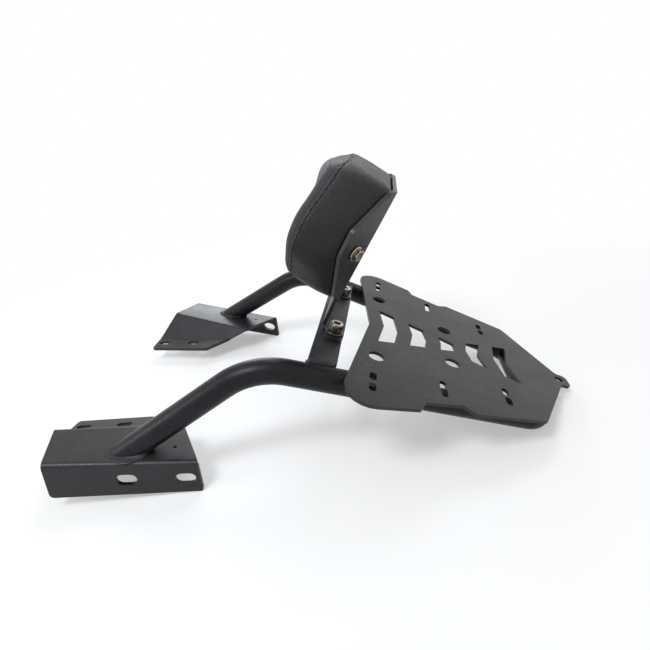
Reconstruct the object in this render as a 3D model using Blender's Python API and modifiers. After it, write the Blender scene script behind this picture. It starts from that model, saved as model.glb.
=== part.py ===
"""Motorbike luggage rack with a padded passenger backrest.

The pieces are laid out round the luggage plate: X runs to the rear along it, Y to the right and
Z up from its top face. The empty that carries them all then tilts the rack until it stands on the
rear corners of its two side brackets and on the rear of its bent tube. Metres throughout.
"""

import math

import bmesh
import bpy
from mathutils import Matrix, Vector

# Clearances
SEAT_GAP = 0.0003
BOLT_CLEARANCE = 0.0004

# Luggage plate
PLATE_THICKNESS = 0.003
PLATE_FRONT_X = -0.0085
PLATE_FRONT_SLOPE = 0.14
PLATE_SIDE_Y = 0.141
PLATE_SIDE_TAPER = 0.37
PLATE_CORNER_RADIUS = 0.021
PLATE_SIDE_RADIUS = 0.003
NOTCH_FRONT_X = 0.038
NOTCH_FRONT_RUN = 0.004
NOTCH_FRONT_DEPTH = 0.0115
NOTCH_REAR_X = 0.086
NOTCH_REAR_RUN = 0.011
NOTCH_REAR_DEPTH = 0.0063
PLATE_REAR_X = 0.152
PLATE_REAR_TAPER = 0.33
PLATE_REAR_HALF_WIDTH = 0.0885
PLATE_REAR_SLOPE = 0.52
EAR_X = 0.193
EAR_HALF_WIDTH = 0.01
EAR_CORNER_RADIUS = 0.0095
EAR_HOLE_RADIUS = 0.0043
EAR_FILLET = 0.006

# Windows and holes of the luggage plate
CHEVRON_RADIUS = 0.0008
ROUND_HOLE_RADIUS = 0.0075
FRONT_HOLE_Y = 0.0659
MIDDLE_HOLE_X = 0.0746
MIDDLE_HOLE_Y = 0.035
STRAP_SLOT_WIDTH = 0.006
STRAP_SLOT_LENGTH = 0.0115
FRONT_SLOT_X = -0.002
FRONT_SLOT_Y = 0.1085
FRONT_SLOT_PITCH = 0.016
MIDDLE_SLOT_X = 0.06
MIDDLE_SLOT_Y = 0.0869
MIDDLE_SLOT_LENGTH = 0.024
REAR_SLOT_X = 0.121
REAR_SLOT_Y = 0.06765
REAR_SLOT_PITCH = 0.0143

# Bent tube
TUBE_RADIUS = 0.011
RAIL_FRONT_X = -0.098
RAIL_FRONT_Y = 0.1159
CROSS_TUBE_X = 0.159
CROSS_TUBE_HALF = 0.064
LEG_BEND_RADIUS = 0.062
CORNER_BEND_RADIUS = 0.016
FOOT_ALONG = 0.0645
FOOT_INBOARD = 0.017
LEG_OVERRUN = 0.033

# Side brackets, folded from one sheet
BRACKET_THICKNESS = 0.004
BRACKET_X = -0.2382
BRACKET_Y = 0.1713
BRACKET_Z = -0.1274
BRACKET_TOE_IN = math.radians(-11.8)
BRACKET_RISE = math.radians(-12.6)
BRACKET_ROLL = math.radians(3.5)
BRACKET_BEND_RADIUS = 0.003
TOP_LENGTH = 0.124
TOP_FRONT_WIDTH = 0.045
TOP_REAR_WIDTH = 0.0505
TOP_FRONT_SKEW = 0.009
TOP_REAR_SKEW = 0.021
FLANGE_ANGLE = math.radians(86)
FLANGE_FRONT_HEIGHT = 0.0332
FLANGE_REAR_HEIGHT = 0.0296
FLANGE_FRONT_SKEW = 0.0025
FLANGE_REAR_SKEW = 0.0035
FLANGE_CORNER_RADIUS = 0.004
WEB_ANGLE = math.radians(42)
WEB_FRONT_HEIGHT = 0.04
WEB_REAR_HEIGHT = 0.017
WEB_FRONT_SKEW = 0.008
WEB_REAR_SKEW = 0.02
LIP_ANGLE = math.radians(34)
LIP_DEPTH = 0.023
LIP_REAR_INSET = 0.019
BRACKET_CORNER_RADIUS = 0.002
FLANGE_SLOT_LENGTH = 0.0175
FLANGE_SLOT_WIDTH = 0.0105
FLANGE_SLOT_INSET = 0.0105
FLANGE_SLOT_PITCH = 0.048
FLANGE_SLOT_DROP = 0.0165
LIP_SLOT_LENGTH = 0.0155
LIP_SLOT_WIDTH = 0.0065
LIP_SLOT_INSET = 0.0235
LIP_SLOT_PITCH = 0.0415
LIP_SLOT_EDGE = 0.0125
PILOT_HOLE_RADIUS = 0.0015
PILOT_HOLE_INSET = 0.0223
PILOT_HOLE_INBOARD = 0.0197

# Cross bar that carries the backrest
BAR_X = -0.045
BAR_WIDTH = 0.025
BAR_THICKNESS = 0.005
BAR_EDGE_RADIUS = 0.002
BAR_END_INSET = 0.0085

# Backrest bracket, folded from one sheet
BACK_THICKNESS = 0.0035
BACK_BEND_RADIUS = 0.003
TONGUE_X = -0.0528
TONGUE_LEAN = math.radians(7)
TONGUE_HALF_WIDTH = 0.036
TONGUE_FILLET = 0.004
FOOT_DEPTH = 0.0205
FOOT_HALF_LENGTH = 0.058
FOOT_CORNER_RADIUS = 0.009
LEAN_BEND_HEIGHT = 0.03
LEAN_BEND = math.radians(3.4)
BACK_HEIGHT = 0.1095
BACK_LOW_EDGE = 0.0078
BACK_TOP_HALF = 0.0555
BACK_LOW_HALF = 0.059
BACK_SIDE_HALF = 0.0825
BACK_SIDE_TOP = 0.0735
BACK_SIDE_LOW = 0.0515
BACK_CORNER_RADIUS = 0.009
WING_FOLD_Y = 0.05
WING_ANGLE = math.radians(-28.5)

# Board and cushion
BOARD_THICKNESS = 0.012
BOARD_INSET = 0.0035
POCKET_CLEARANCE = 0.0006
CUSHION_BACK_GAP = 0.0008
CUSHION_BACK_RADIUS = 0.011
CUSHION_SEAM_RADIUS = 0.019
CUSHION_SEAM_DEPTH = 0.0412
CUSHION_SEAM_WRAP = 0.0108
CUSHION_SEAM_LEAN = 0.02
CUSHION_CROWN = 0.02
CUSHION_SIDE_DROP = 0.005
CUSHION_SIDE_RUN = 0.054
CUSHION_TOP_ROLL = 0.0099
CUSHION_SIDE_POINTS = 56
BACK_RING_SHARES = (0.35, 0.8, 1)
CROWN_RING_SHARES = (0.985, 0.95, 0.88, 0.76, 0.55, 0.25)
CROWN_POWER = 6.2

# Fasteners
SCREW_RADIUS = 0.004
SCREW_HEAD_RADIUS = 0.0065
SCREW_HEAD_HEIGHT = 0.008
SCREW_SOCKET_RADIUS = 0.0034
SCREW_SOCKET_DEPTH = 0.004
SCREW_CHAMFER = 0.0008
FOOT_SCREW_X = -0.0415
FOOT_SCREW_Y = 0.0462
HEX_RADIUS = 0.0075
HEX_HEAD_HEIGHT = 0.0053
NUT_HEIGHT = 0.0065
SCREW_TAIL = 0.003
WASHER_RADIUS = 0.0085
WASHER_THICKNESS = 0.0016
PAD_BOLT_Y = 0.0655
PAD_BOLT_HEIGHT = 0.0553
INSERT_RADIUS = 0.006
INSERT_LENGTH = 0.0105
PAD_BOLT_END = 0.001

# Weld beads
FOOT_WELD_RADIUS = 0.0021
BAR_WELD_RADIUS = 0.0025
PLATE_WELD_RADIUS = 0.002
PLATE_WELD_LENGTH = 0.026
PLATE_WELD_FRONT_X = 0.012
PLATE_WELD_REAR_X = 0.118

# Facets
TUBE_SIDES = 24
ARC_STEP = math.radians(18)
TUBE_ARC_STEP = math.radians(8)
CORNER_REACH = 0.49
TURN_STEPS = 20
SLOT_END_STEPS = 6
BEND_STEPS = 3
BEAD_RESOLUTION = 2
SHARP_ANGLE = math.radians(35)
FLAT_ANGLE = math.radians(0.05)

RAIL_Z = -PLATE_THICKNESS - SEAT_GAP - TUBE_RADIUS
BAR_TOP_Z = -PLATE_THICKNESS - SEAT_GAP
SIDES = {"left": -1, "right": 1}


def clear_scene():
    """Remove whatever the file holds, so that the model stands alone."""
    for item in list(bpy.data.objects):
        bpy.data.objects.remove(item, do_unlink=True)


def new_collection(name):
    """A collection under the scene's own."""
    group = bpy.data.collections.new(name)
    bpy.context.scene.collection.children.link(group)
    return group


def new_material(name, colour, roughness, metallic):
    """A plain Principled material."""
    material = bpy.data.materials.new(name)
    material.use_nodes = True
    shader = material.node_tree.nodes["Principled BSDF"]
    shader.inputs["Base Color"].default_value = (*colour, 1.0)
    shader.inputs["Roughness"].default_value = roughness
    shader.inputs["Metallic"].default_value = metallic
    return material


def new_empty(name, group, parent=None):
    """An empty that places what hangs under it."""
    empty = bpy.data.objects.new(name, None)
    empty.parent = parent
    group.objects.link(empty)
    return empty


def new_object(name, mesh, group, parent, material=None):
    """An object for a mesh, smooth over round stretches and sharp at real edges."""
    item = bpy.data.objects.new(name, mesh)
    item.parent = parent
    group.objects.link(item)
    if material:
        mesh.materials.clear()
        mesh.materials.append(material)
    mesh.shade_smooth()
    mesh.set_sharp_from_angle(angle=SHARP_ANGLE)
    return item


def evaluated_mesh(item):
    """The mesh that an object's curve or modifiers give, as data of its own."""
    graph = bpy.context.evaluated_depsgraph_get()
    return bpy.data.meshes.new_from_object(item.evaluated_get(graph))


def weld_caps(mesh):
    """Close a curve's mesh by joining its caps to its walls, and face it outward."""
    shape = bmesh.new()
    shape.from_mesh(mesh)
    bmesh.ops.remove_doubles(shape, verts=shape.verts, dist=1e-6)
    bmesh.ops.recalc_face_normals(shape, faces=shape.faces)
    shape.to_mesh(mesh)
    shape.free()


def curve_mesh(splines, fill, extrude=0.0, bevel=0.0, cyclic=True):
    """The closed mesh of a flat outline or of a round tube, made from a curve."""
    curve = bpy.data.curves.new("outline", "CURVE")
    curve.dimensions = "2D" if fill else "3D"
    curve.fill_mode = "BOTH" if fill else "FULL"
    curve.extrude = extrude
    curve.bevel_depth = bevel
    curve.bevel_resolution = TUBE_SIDES // 2 - 2
    curve.use_fill_caps = not fill
    for points in splines:
        spline = curve.splines.new("POLY")
        spline.points.add(len(points) - 1)
        for point, place in zip(spline.points, points):
            point.co = (*Vector(place).to_3d(), 1.0)
        spline.use_cyclic_u = cyclic
    carrier = bpy.data.objects.new("outline", curve)
    bpy.context.scene.collection.objects.link(carrier)
    mesh = evaluated_mesh(carrier)
    bpy.data.objects.remove(carrier, do_unlink=True)
    bpy.data.curves.remove(curve)
    weld_caps(mesh)
    return mesh


def rounded(corners):
    """An outline whose corners (x, y, radius) are rounded with arcs."""
    outline = []
    count = len(corners)
    for index, (x, y, radius) in enumerate(corners):
        corner = Vector((x, y))
        before = Vector(corners[index - 1][:2]) - corner
        after = Vector(corners[(index + 1) % count][:2]) - corner
        if radius == 0:
            outline.append(corner)
            continue
        turn = math.pi - before.angle(after)
        lead = radius * math.tan(turn / 2)
        lead = min(lead, CORNER_REACH * before.length, CORNER_REACH * after.length)
        start = corner + before.normalized() * lead
        end = corner + after.normalized() * lead
        inward = (before.normalized() + after.normalized()).normalized()
        centre = corner + inward * lead / math.sin(turn / 2)
        steps = max(2, math.ceil(turn / ARC_STEP))
        sweep = (start - centre).angle_signed(end - centre)
        for step in range(steps + 1):
            spoke = (start - centre).copy()
            spoke.rotate(Matrix.Rotation(-sweep * step / steps, 2))
            outline.append(centre + spoke)
    return outline


def mirrored_outline(half):
    """Corners of one half (y above zero), front to rear, closed with their mirror image."""
    other = [(x, -y, radius) for x, y, radius in reversed(half) if y > 0]
    return half + other


def ring(x, y, radius):
    """A round hole's outline."""
    angles = [2 * math.pi * step / TURN_STEPS for step in range(TURN_STEPS)]
    return [Vector((x + radius * math.cos(a), y + radius * math.sin(a))) for a in angles]


def slot(x, y, length, width, angle):
    """A slot's outline: two half circles joined by straight sides."""
    along = Vector((math.cos(angle), math.sin(angle)))
    across = Vector((-along.y, along.x))
    middle = Vector((x, y))
    half = (length - width) / 2
    outline = []
    for end in (1, -1):
        for step in range(SLOT_END_STEPS + 1):
            swing = math.pi * step / SLOT_END_STEPS - math.pi / 2
            spoke = along * math.cos(swing) + across * math.sin(swing)
            outline.append(middle + end * (along * half + spoke * width / 2))
    return outline


def plate_mesh(outline, holes, thickness):
    """A flat plate in the XY plane, with its middle plane at zero."""
    return curve_mesh([outline, *holes], fill=True, extrude=thickness / 2)


def bend(mesh, origin, along, angle, radius, applies=None):
    """Fold what lies left of the line through origin, with a round bend tangent to both faces."""
    along = Vector(along).normalized()
    side = Vector((-along.y, along.x))
    origin = Vector(origin)
    reach = radius * math.tan(abs(angle) / 2)
    shape = bmesh.new()
    shape.from_mesh(mesh)
    flat = shape.verts.layers.float_vector["flat"]

    def offset(vert):
        return (vert[flat].to_2d() - origin).dot(side)

    for step in range(BEND_STEPS + 1):
        cut_at = origin + side * reach * (2 * step / BEND_STEPS - 1)
        picked = []
        for face in shape.faces:
            middle = sum((v[flat] for v in face.verts), Vector()) / len(face.verts)
            if applies is None or applies(middle):
                picked.append(face)
        edges = {edge for face in picked for edge in face.edges}
        verts = {vert for face in picked for vert in face.verts}
        result = bmesh.ops.bisect_plane(
            shape, geom=[*picked, *edges, *verts], dist=1e-7,
            plane_co=cut_at.to_3d(), plane_no=side.to_3d())
        for item in result["geom_cut"]:
            if isinstance(item, bmesh.types.BMVert):
                item[flat] = item.co
    hinge = Matrix.Translation(origin.to_3d())
    hinge = hinge @ Matrix.Rotation(angle, 4, along.to_3d()) @ hinge.inverted()
    arc_radius = math.copysign(radius, angle)
    for vert in shape.verts:
        if applies is not None and not applies(vert[flat]):
            continue
        distance = offset(vert)
        if distance >= reach - 1e-7:
            vert.co = hinge @ vert.co
        elif distance > -reach + 1e-7:
            swing = angle * (distance + reach) / (2 * reach)
            run = (vert[flat].to_2d() - origin).dot(along)
            lever = arc_radius - vert[flat].z
            foot = origin + along * run + side * (lever * math.sin(swing) - reach)
            vert.co = foot.to_3d() + Vector((0, 0, arc_radius - lever * math.cos(swing)))
    shape.to_mesh(mesh)
    shape.free()


def remember_flat(mesh):
    """Keep every corner's place on the flat blank, which later bends measure from."""
    layer = mesh.attributes.new("flat", "FLOAT_VECTOR", "POINT")
    for corner, kept in zip(mesh.vertices, layer.data):
        kept.vector = corner.co


def finish_fold(mesh):
    """Drop the flat places once a sheet is folded."""
    mesh.attributes.remove(mesh.attributes["flat"])
    weld_caps(mesh)
    shape = bmesh.new()
    shape.from_mesh(mesh)
    bmesh.ops.dissolve_limit(
        shape, angle_limit=FLAT_ANGLE, verts=shape.verts, edges=shape.edges)
    shape.to_mesh(mesh)
    shape.free()


def cut(item, cutter):
    """Take a cutter's shape out of a piece."""
    modifier = item.modifiers.new("cut", "BOOLEAN")
    modifier.operation = "DIFFERENCE"
    modifier.solver = "EXACT"
    modifier.object = cutter
    cutter.hide_render = True
    cutter.display_type = "WIRE"


def turned_mesh(profile, steps=TURN_STEPS):
    """A turned solid from a profile (radius, height) that runs down its outer side."""
    mesh = bpy.data.meshes.new("profile")
    edges = [(index, index + 1) for index in range(len(profile) - 1)]
    mesh.from_pydata([(radius, 0, height) for radius, height in profile], edges, [])
    carrier = bpy.data.objects.new("profile", mesh)
    bpy.context.scene.collection.objects.link(carrier)
    screw = carrier.modifiers.new("turn", "SCREW")
    screw.steps = steps
    screw.render_steps = steps
    screw.use_merge_vertices = True
    screw.merge_threshold = 1e-5
    result = evaluated_mesh(carrier)
    bpy.data.objects.remove(carrier, do_unlink=True)
    bpy.data.meshes.remove(mesh)
    weld_caps(result)
    return result


def turned_ring_mesh(outer, inner, low, high):
    """A washer or sleeve."""
    profile = [(outer, high), (outer, low), (inner, low), (inner, high), (outer, high)]
    return turned_mesh(profile)


def hex_mesh(radius, height):
    """A hexagonal prism that stands on the plane of its own origin."""
    mesh = bpy.data.meshes.new("hexagon")
    shape = bmesh.new()
    bmesh.ops.create_cone(
        shape, cap_ends=True, segments=6, radius1=radius, radius2=radius, depth=height,
        matrix=Matrix.Translation((0, 0, height / 2)))
    shape.to_mesh(mesh)
    shape.free()
    return mesh


def box_mesh(size, centre):
    """A box as a primitive."""
    mesh = bpy.data.meshes.new("box")
    shape = bmesh.new()
    place = Matrix.Translation(centre) @ Matrix.Diagonal((*size, 1))
    bmesh.ops.create_cube(shape, size=1, matrix=place)
    shape.to_mesh(mesh)
    shape.free()
    return mesh


def mirror_twin(source, name, group):
    """The same piece on the other side of the rack's middle plane."""
    mesh = evaluated_mesh(source)
    mesh.transform(Matrix.Scale(-1, 4, (0, 1, 0)))
    mesh.flip_normals()
    twin = new_object(name, mesh, group, source.parent)
    twin.location = source.location * Vector((1, -1, 1))
    tip_x, tip_y, tip_z = source.rotation_euler
    twin.rotation_euler = (-tip_x, tip_y, -tip_z)
    return twin


def both_sides(build, name, group):
    """Build a piece on the right and its mirror twin on the left."""
    right = build(name + "_right")
    bpy.context.view_layer.update()
    left = mirror_twin(right, name + "_left", group)
    return left, right


def plate_outline():
    """The luggage plate's outline: a shallow V in front, notched sides and an ear behind."""
    side_front_y = PLATE_SIDE_Y - PLATE_SIDE_TAPER * PLATE_FRONT_X
    corner_y = side_front_y / (1 - PLATE_SIDE_TAPER * PLATE_FRONT_SLOPE)
    corner_x = PLATE_FRONT_X - PLATE_FRONT_SLOPE * corner_y
    notch_y = PLATE_SIDE_Y - PLATE_SIDE_TAPER * NOTCH_FRONT_X
    rear_notch_y = PLATE_REAR_HALF_WIDTH + PLATE_REAR_TAPER * (PLATE_REAR_X - NOTCH_REAR_X)
    ear_tip = EAR_X + EAR_HALF_WIDTH
    rear_run = PLATE_REAR_HALF_WIDTH - EAR_HALF_WIDTH
    ear_root = PLATE_REAR_X + PLATE_REAR_SLOPE * rear_run
    small = PLATE_SIDE_RADIUS
    half = [
        (PLATE_FRONT_X, 0, 0),
        (corner_x, corner_y, PLATE_CORNER_RADIUS),
        (NOTCH_FRONT_X, notch_y, small),
        (NOTCH_FRONT_X + NOTCH_FRONT_RUN, notch_y - NOTCH_FRONT_DEPTH, small),
        (NOTCH_REAR_X - NOTCH_REAR_RUN, rear_notch_y - NOTCH_REAR_DEPTH, small),
        (NOTCH_REAR_X, rear_notch_y, small),
        (PLATE_REAR_X, PLATE_REAR_HALF_WIDTH, small),
        (ear_root, EAR_HALF_WIDTH, EAR_FILLET),
        (ear_tip, EAR_HALF_WIDTH, EAR_CORNER_RADIUS),
    ]
    return rounded(mirrored_outline(half))


# Each chevron: apex and end of its front edge, apex and end of its rear edge (x, then x and y)
CHEVRONS = (
    (0.0064, 0.001, 0.036, 0.0215, 0.0173, 0.030),
    (0.0367, 0.0332, 0.0251, 0.052, 0.0491, 0.0194),
    (0.067, 0.0655, 0.0143, 0.0815, 0.0807, 0.0083),
    (0.0935, 0.097, 0.019, 0.1065, 0.112, 0.0243),
    (0.1235, 0.128, 0.030, 0.1375, 0.1435, 0.0355),
)


def chevron(front_apex, front_x, front_y, rear_apex, rear_x, rear_y):
    """One V-shaped window."""
    corners = [
        (front_apex, 0, 0),
        (front_x, front_y, CHEVRON_RADIUS),
        (rear_x, rear_y, CHEVRON_RADIUS),
        (rear_apex, 0, 0),
        (rear_x, -rear_y, CHEVRON_RADIUS),
        (front_x, -front_y, CHEVRON_RADIUS),
    ]
    return rounded(corners)


def plate_holes():
    """Windows, round holes and strap slots of the luggage plate."""
    holes = [chevron(*sizes) for sizes in CHEVRONS]
    holes.append(ring(EAR_X, 0, EAR_HOLE_RADIUS))
    across = math.pi / 2
    for side in SIDES.values():
        holes.append(ring(0, side * FRONT_HOLE_Y, ROUND_HOLE_RADIUS))
        holes.append(ring(MIDDLE_HOLE_X, side * MIDDLE_HOLE_Y, ROUND_HOLE_RADIUS))
        middle = (MIDDLE_SLOT_X, side * MIDDLE_SLOT_Y)
        holes.append(slot(*middle, MIDDLE_SLOT_LENGTH, STRAP_SLOT_WIDTH, across))
        for end in (-0.5, 0.5):
            front = (FRONT_SLOT_X, side * (FRONT_SLOT_Y + end * FRONT_SLOT_PITCH))
            rear = (REAR_SLOT_X, side * (REAR_SLOT_Y + end * REAR_SLOT_PITCH))
            holes.append(slot(*front, STRAP_SLOT_LENGTH, STRAP_SLOT_WIDTH, across))
            holes.append(slot(*rear, STRAP_SLOT_LENGTH, STRAP_SLOT_WIDTH, across))
    return holes


def build_rack_plate(group, frame, material):
    """The flat luggage plate."""
    mesh = plate_mesh(plate_outline(), plate_holes(), PLATE_THICKNESS)
    plate = new_object("rack_plate", mesh, group, frame, material)
    plate.location.z = -PLATE_THICKNESS / 2
    return plate


def inner_fold():
    """Front and rear end of the fold between a side bracket's top and its sloping web."""
    front = Vector((-TOP_FRONT_SKEW, -TOP_FRONT_WIDTH))
    rear = Vector((TOP_LENGTH - TOP_REAR_SKEW, -TOP_REAR_WIDTH))
    return front, rear


def bracket_blank():
    """Outline and holes of a side bracket's flat blank, with the outer fold along Y zero."""
    fold = BRACKET_THICKNESS / 2
    fold_front, fold_rear = inner_fold()
    front_crease = (fold_front.x - WEB_FRONT_SKEW, fold_front.y - WEB_FRONT_HEIGHT)
    rear_crease = (fold_rear.x - WEB_REAR_SKEW, fold_rear.y - WEB_REAR_HEIGHT)
    crease = (Vector(rear_crease) - Vector(front_crease)).normalized()
    outward = Vector((crease.y, -crease.x))
    lip_front = Vector(front_crease) + outward * LIP_DEPTH
    lip_rear_x = rear_crease[0] - LIP_REAR_INSET
    lip_rear = lip_front + crease * (lip_rear_x - lip_front.x) / crease.x
    small = BRACKET_CORNER_RADIUS
    corners = [
        (0, -fold, 0),
        (*fold_front, 0),
        (*front_crease, 0),
        (*lip_front, small),
        (*lip_rear, small),
        (*rear_crease, small),
        (*fold_rear, small),
        (TOP_LENGTH, -fold, 0),
        (TOP_LENGTH + FLANGE_REAR_SKEW, FLANGE_REAR_HEIGHT - 2 * fold, small),
        (FLANGE_FRONT_SKEW, FLANGE_FRONT_HEIGHT - 2 * fold, FLANGE_CORNER_RADIUS),
    ]
    pilot_x = TOP_LENGTH - PILOT_HOLE_INSET
    holes = [ring(pilot_x, -PILOT_HOLE_INBOARD, PILOT_HOLE_RADIUS)]
    for step in (0, 1):
        x = TOP_LENGTH - FLANGE_SLOT_INSET - step * FLANGE_SLOT_PITCH
        drop = FLANGE_SLOT_DROP - 2 * fold
        holes.append(slot(x, drop, FLANGE_SLOT_LENGTH, FLANGE_SLOT_WIDTH, 0))
        x = lip_rear_x - LIP_SLOT_INSET - step * LIP_SLOT_PITCH
        edge = lip_front + crease * (x - lip_front.x) / crease.x - outward * LIP_SLOT_EDGE
        tilt = math.atan2(crease.y, crease.x)
        holes.append(slot(*edge, LIP_SLOT_LENGTH, LIP_SLOT_WIDTH, tilt))
    return rounded(corners), holes, front_crease, rear_crease


def place_on_bracket(item):
    """Give an object the right bracket's own axes, whose Z zero is its top face."""
    item.location = (BRACKET_X, BRACKET_Y, BRACKET_Z)
    item.rotation_euler = (BRACKET_ROLL, BRACKET_RISE, BRACKET_TOE_IN)


def build_side_bracket(name, group, frame, material):
    """A bracket that bolts to the bike: top, outer flange, sloping web and inner lip."""
    outline, holes, front_crease, rear_crease = bracket_blank()
    mesh = plate_mesh(outline, holes, BRACKET_THICKNESS)
    remember_flat(mesh)
    lip_run = Vector(front_crease) - Vector(rear_crease)
    bend(mesh, front_crease, lip_run, LIP_ANGLE, BRACKET_BEND_RADIUS)
    fold_front, fold_rear = inner_fold()
    bend(mesh, fold_front, fold_front - fold_rear, -WEB_ANGLE, BRACKET_BEND_RADIUS)
    outer_fold = -BRACKET_THICKNESS / 2
    bend(mesh, (0, outer_fold), (1, 0), -FLANGE_ANGLE, BRACKET_BEND_RADIUS)
    finish_fold(mesh)
    mesh.transform(Matrix.Translation((0, 0, -BRACKET_THICKNESS / 2)))
    bracket = new_object(name, mesh, group, frame, material)
    place_on_bracket(bracket)
    return bracket


def bracket_axes():
    """The right bracket's origin and turn, in the rack's own axes."""
    turn = Matrix.Rotation(BRACKET_TOE_IN, 4, "Z")
    turn = turn @ Matrix.Rotation(BRACKET_RISE, 4, "Y")
    turn = turn @ Matrix.Rotation(BRACKET_ROLL, 4, "X")
    return Matrix.Translation((BRACKET_X, BRACKET_Y, BRACKET_Z)) @ turn


def arc_between(before, corner, after, radius):
    """Points of the round bend that replaces a corner of the tube's route."""
    back = (before - corner).normalized()
    ahead = (after - corner).normalized()
    turn = math.pi - back.angle(ahead)
    lead = radius * math.tan(turn / 2)
    centre = corner + (back + ahead).normalized() * radius / math.cos(turn / 2)
    start = corner + back * lead - centre
    axis = back.cross(ahead).normalized()
    steps = math.ceil(turn / TUBE_ARC_STEP)
    points = []
    for step in range(steps + 1):
        points.append(centre + Matrix.Rotation(-turn * step / steps, 3, axis) @ start)
    return points


def foot_point():
    """Where the right leg's axis meets the top face of its bracket."""
    return bracket_axes() @ Vector((FOOT_ALONG, -FOOT_INBOARD, 0))


def leg_direction():
    """The right leg's direction, down towards its foot."""
    return (foot_point() - Vector((RAIL_FRONT_X, RAIL_FRONT_Y, RAIL_Z))).normalized()


def tube_route():
    """The tube's axis from the left foot round the rear to the right foot."""
    bend_point = Vector((RAIL_FRONT_X, RAIL_FRONT_Y, RAIL_Z))
    corner = Vector((CROSS_TUBE_X, CROSS_TUBE_HALF, RAIL_Z))
    middle = Vector((CROSS_TUBE_X, 0, RAIL_Z))
    past_foot = foot_point() + leg_direction() * LEG_OVERRUN
    right = arc_between(middle, corner, bend_point, CORNER_BEND_RADIUS)
    right += arc_between(corner, bend_point, past_foot, LEG_BEND_RADIUS)
    right.append(past_foot)
    left = [Vector((point.x, -point.y, point.z)) for point in reversed(right)]
    return left + right


def rail_direction():
    """The right rail's direction in the plate's plane, to the rear."""
    run = Vector((CROSS_TUBE_X - RAIL_FRONT_X, CROSS_TUBE_HALF - RAIL_FRONT_Y, 0))
    return run.normalized()


def rail_point(x):
    """A point on the right rail's axis."""
    run = rail_direction()
    start = Vector((RAIL_FRONT_X, RAIL_FRONT_Y, RAIL_Z))
    return start + run * (x - RAIL_FRONT_X) / run.x


def build_rail_hoop(group, cutters, frame, material):
    """Both legs, both rails and the rear cross part, bent from one tube."""
    mesh = curve_mesh([tube_route()], fill=False, bevel=TUBE_RADIUS, cyclic=False)
    hoop = new_object("rail_hoop", mesh, group, frame, material)
    size = (2 * TOP_LENGTH, 3 * TOP_REAR_WIDTH, 3 * LEG_OVERRUN)
    centre = (FOOT_ALONG, -FOOT_INBOARD, SEAT_GAP - size[2] / 2)

    def foot_cutter(name):
        cutter = new_object(name, box_mesh(size, centre), cutters, frame)
        place_on_bracket(cutter)
        return cutter

    for cutter in both_sides(foot_cutter, "foot_cutter", cutters):
        cut(hoop, cutter)
    return hoop


def build_cross_bar(group, cutters, frame, material):
    """The flat bar between the rails, coped to them, which carries the backrest."""
    half_width = BAR_WIDTH / 2
    run = rail_direction()
    inward = Vector((run.y, -run.x, 0)) * BAR_END_INSET
    corners = []
    for x in (BAR_X - half_width, BAR_X + half_width):
        end = rail_point(x) + inward
        corners.append((x, end.y - run.y / run.x * (x - end.x), 0))
    outline = rounded(mirrored_outline(corners))
    mesh = plate_mesh(outline, [], BAR_THICKNESS)
    bar = new_object("cross_bar", mesh, group, frame, material)
    bar.location.z = BAR_TOP_Z - BAR_THICKNESS / 2
    edge = bar.modifiers.new("rounded edges", "BEVEL")
    edge.width = BAR_EDGE_RADIUS
    edge.segments = 2
    edge.limit_method = "ANGLE"
    edge.use_clamp_overlap = True
    reach = run * 2 * BAR_WIDTH

    def rail_cutter(name):
        ends = [rail_point(BAR_X) - reach, rail_point(BAR_X) + reach]
        radius = TUBE_RADIUS + SEAT_GAP
        shape = curve_mesh([ends], fill=False, bevel=radius, cyclic=False)
        return new_object(name, shape, cutters, frame)

    for cutter in both_sides(rail_cutter, "rail_cutter", cutters):
        cut(bar, cutter)
    side = Vector((0, FOOT_SCREW_Y, 0))
    for name, sign in SIDES.items():
        shape = turned_mesh(drill_profile(BAR_THICKNESS))
        drill = new_object("bar_drill_" + name, shape, cutters, frame)
        drill.location = sign * side + Vector((FOOT_SCREW_X, 0, BAR_TOP_Z - BAR_THICKNESS / 2))
        cut(bar, drill)
    return bar


def drill_profile(depth):
    """The profile of a drill for one bolt hole through a sheet of this depth."""
    radius = SCREW_RADIUS + BOLT_CLEARANCE
    return [(0, depth), (radius, depth), (radius, -depth), (0, -depth)]


def back_blank():
    """Outline and holes of the backrest bracket's flat blank: X across, Y up, foot below zero."""
    low = LEAN_BEND_HEIGHT + BACK_LOW_EDGE
    top = LEAN_BEND_HEIGHT + BACK_HEIGHT
    side = unfolded(BACK_SIDE_HALF)
    corner = BACK_CORNER_RADIUS
    shoulder = -BACK_THICKNESS
    half = [
        (-FOOT_DEPTH, FOOT_HALF_LENGTH, FOOT_CORNER_RADIUS),
        (shoulder, FOOT_HALF_LENGTH, FOOT_CORNER_RADIUS / 2),
        (shoulder, TONGUE_HALF_WIDTH + TONGUE_FILLET, 0),
        (0, TONGUE_HALF_WIDTH, 0),
        (low, TONGUE_HALF_WIDTH, TONGUE_FILLET),
        (low, unfolded(BACK_LOW_HALF), corner),
        (LEAN_BEND_HEIGHT + BACK_SIDE_LOW, side, corner),
        (LEAN_BEND_HEIGHT + BACK_SIDE_TOP, side, corner),
        (top, unfolded(BACK_TOP_HALF), corner),
    ]
    outline = [Vector((point.y, point.x)) for point in rounded(mirrored_outline(half))]
    holes = []
    for sign in SIDES.values():
        radius = SCREW_RADIUS + BOLT_CLEARANCE
        hole_y = LEAN_BEND_HEIGHT + PAD_BOLT_HEIGHT
        holes.append(ring(sign * unfolded(PAD_BOLT_Y), hole_y, radius))
        holes.append(ring(sign * FOOT_SCREW_Y, -foot_hole_depth(), radius))
    return outline, holes


def foot_hole_depth():
    """How far behind the tongue's fold the foot screws sit."""
    return FOOT_SCREW_X - TONGUE_X


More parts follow.
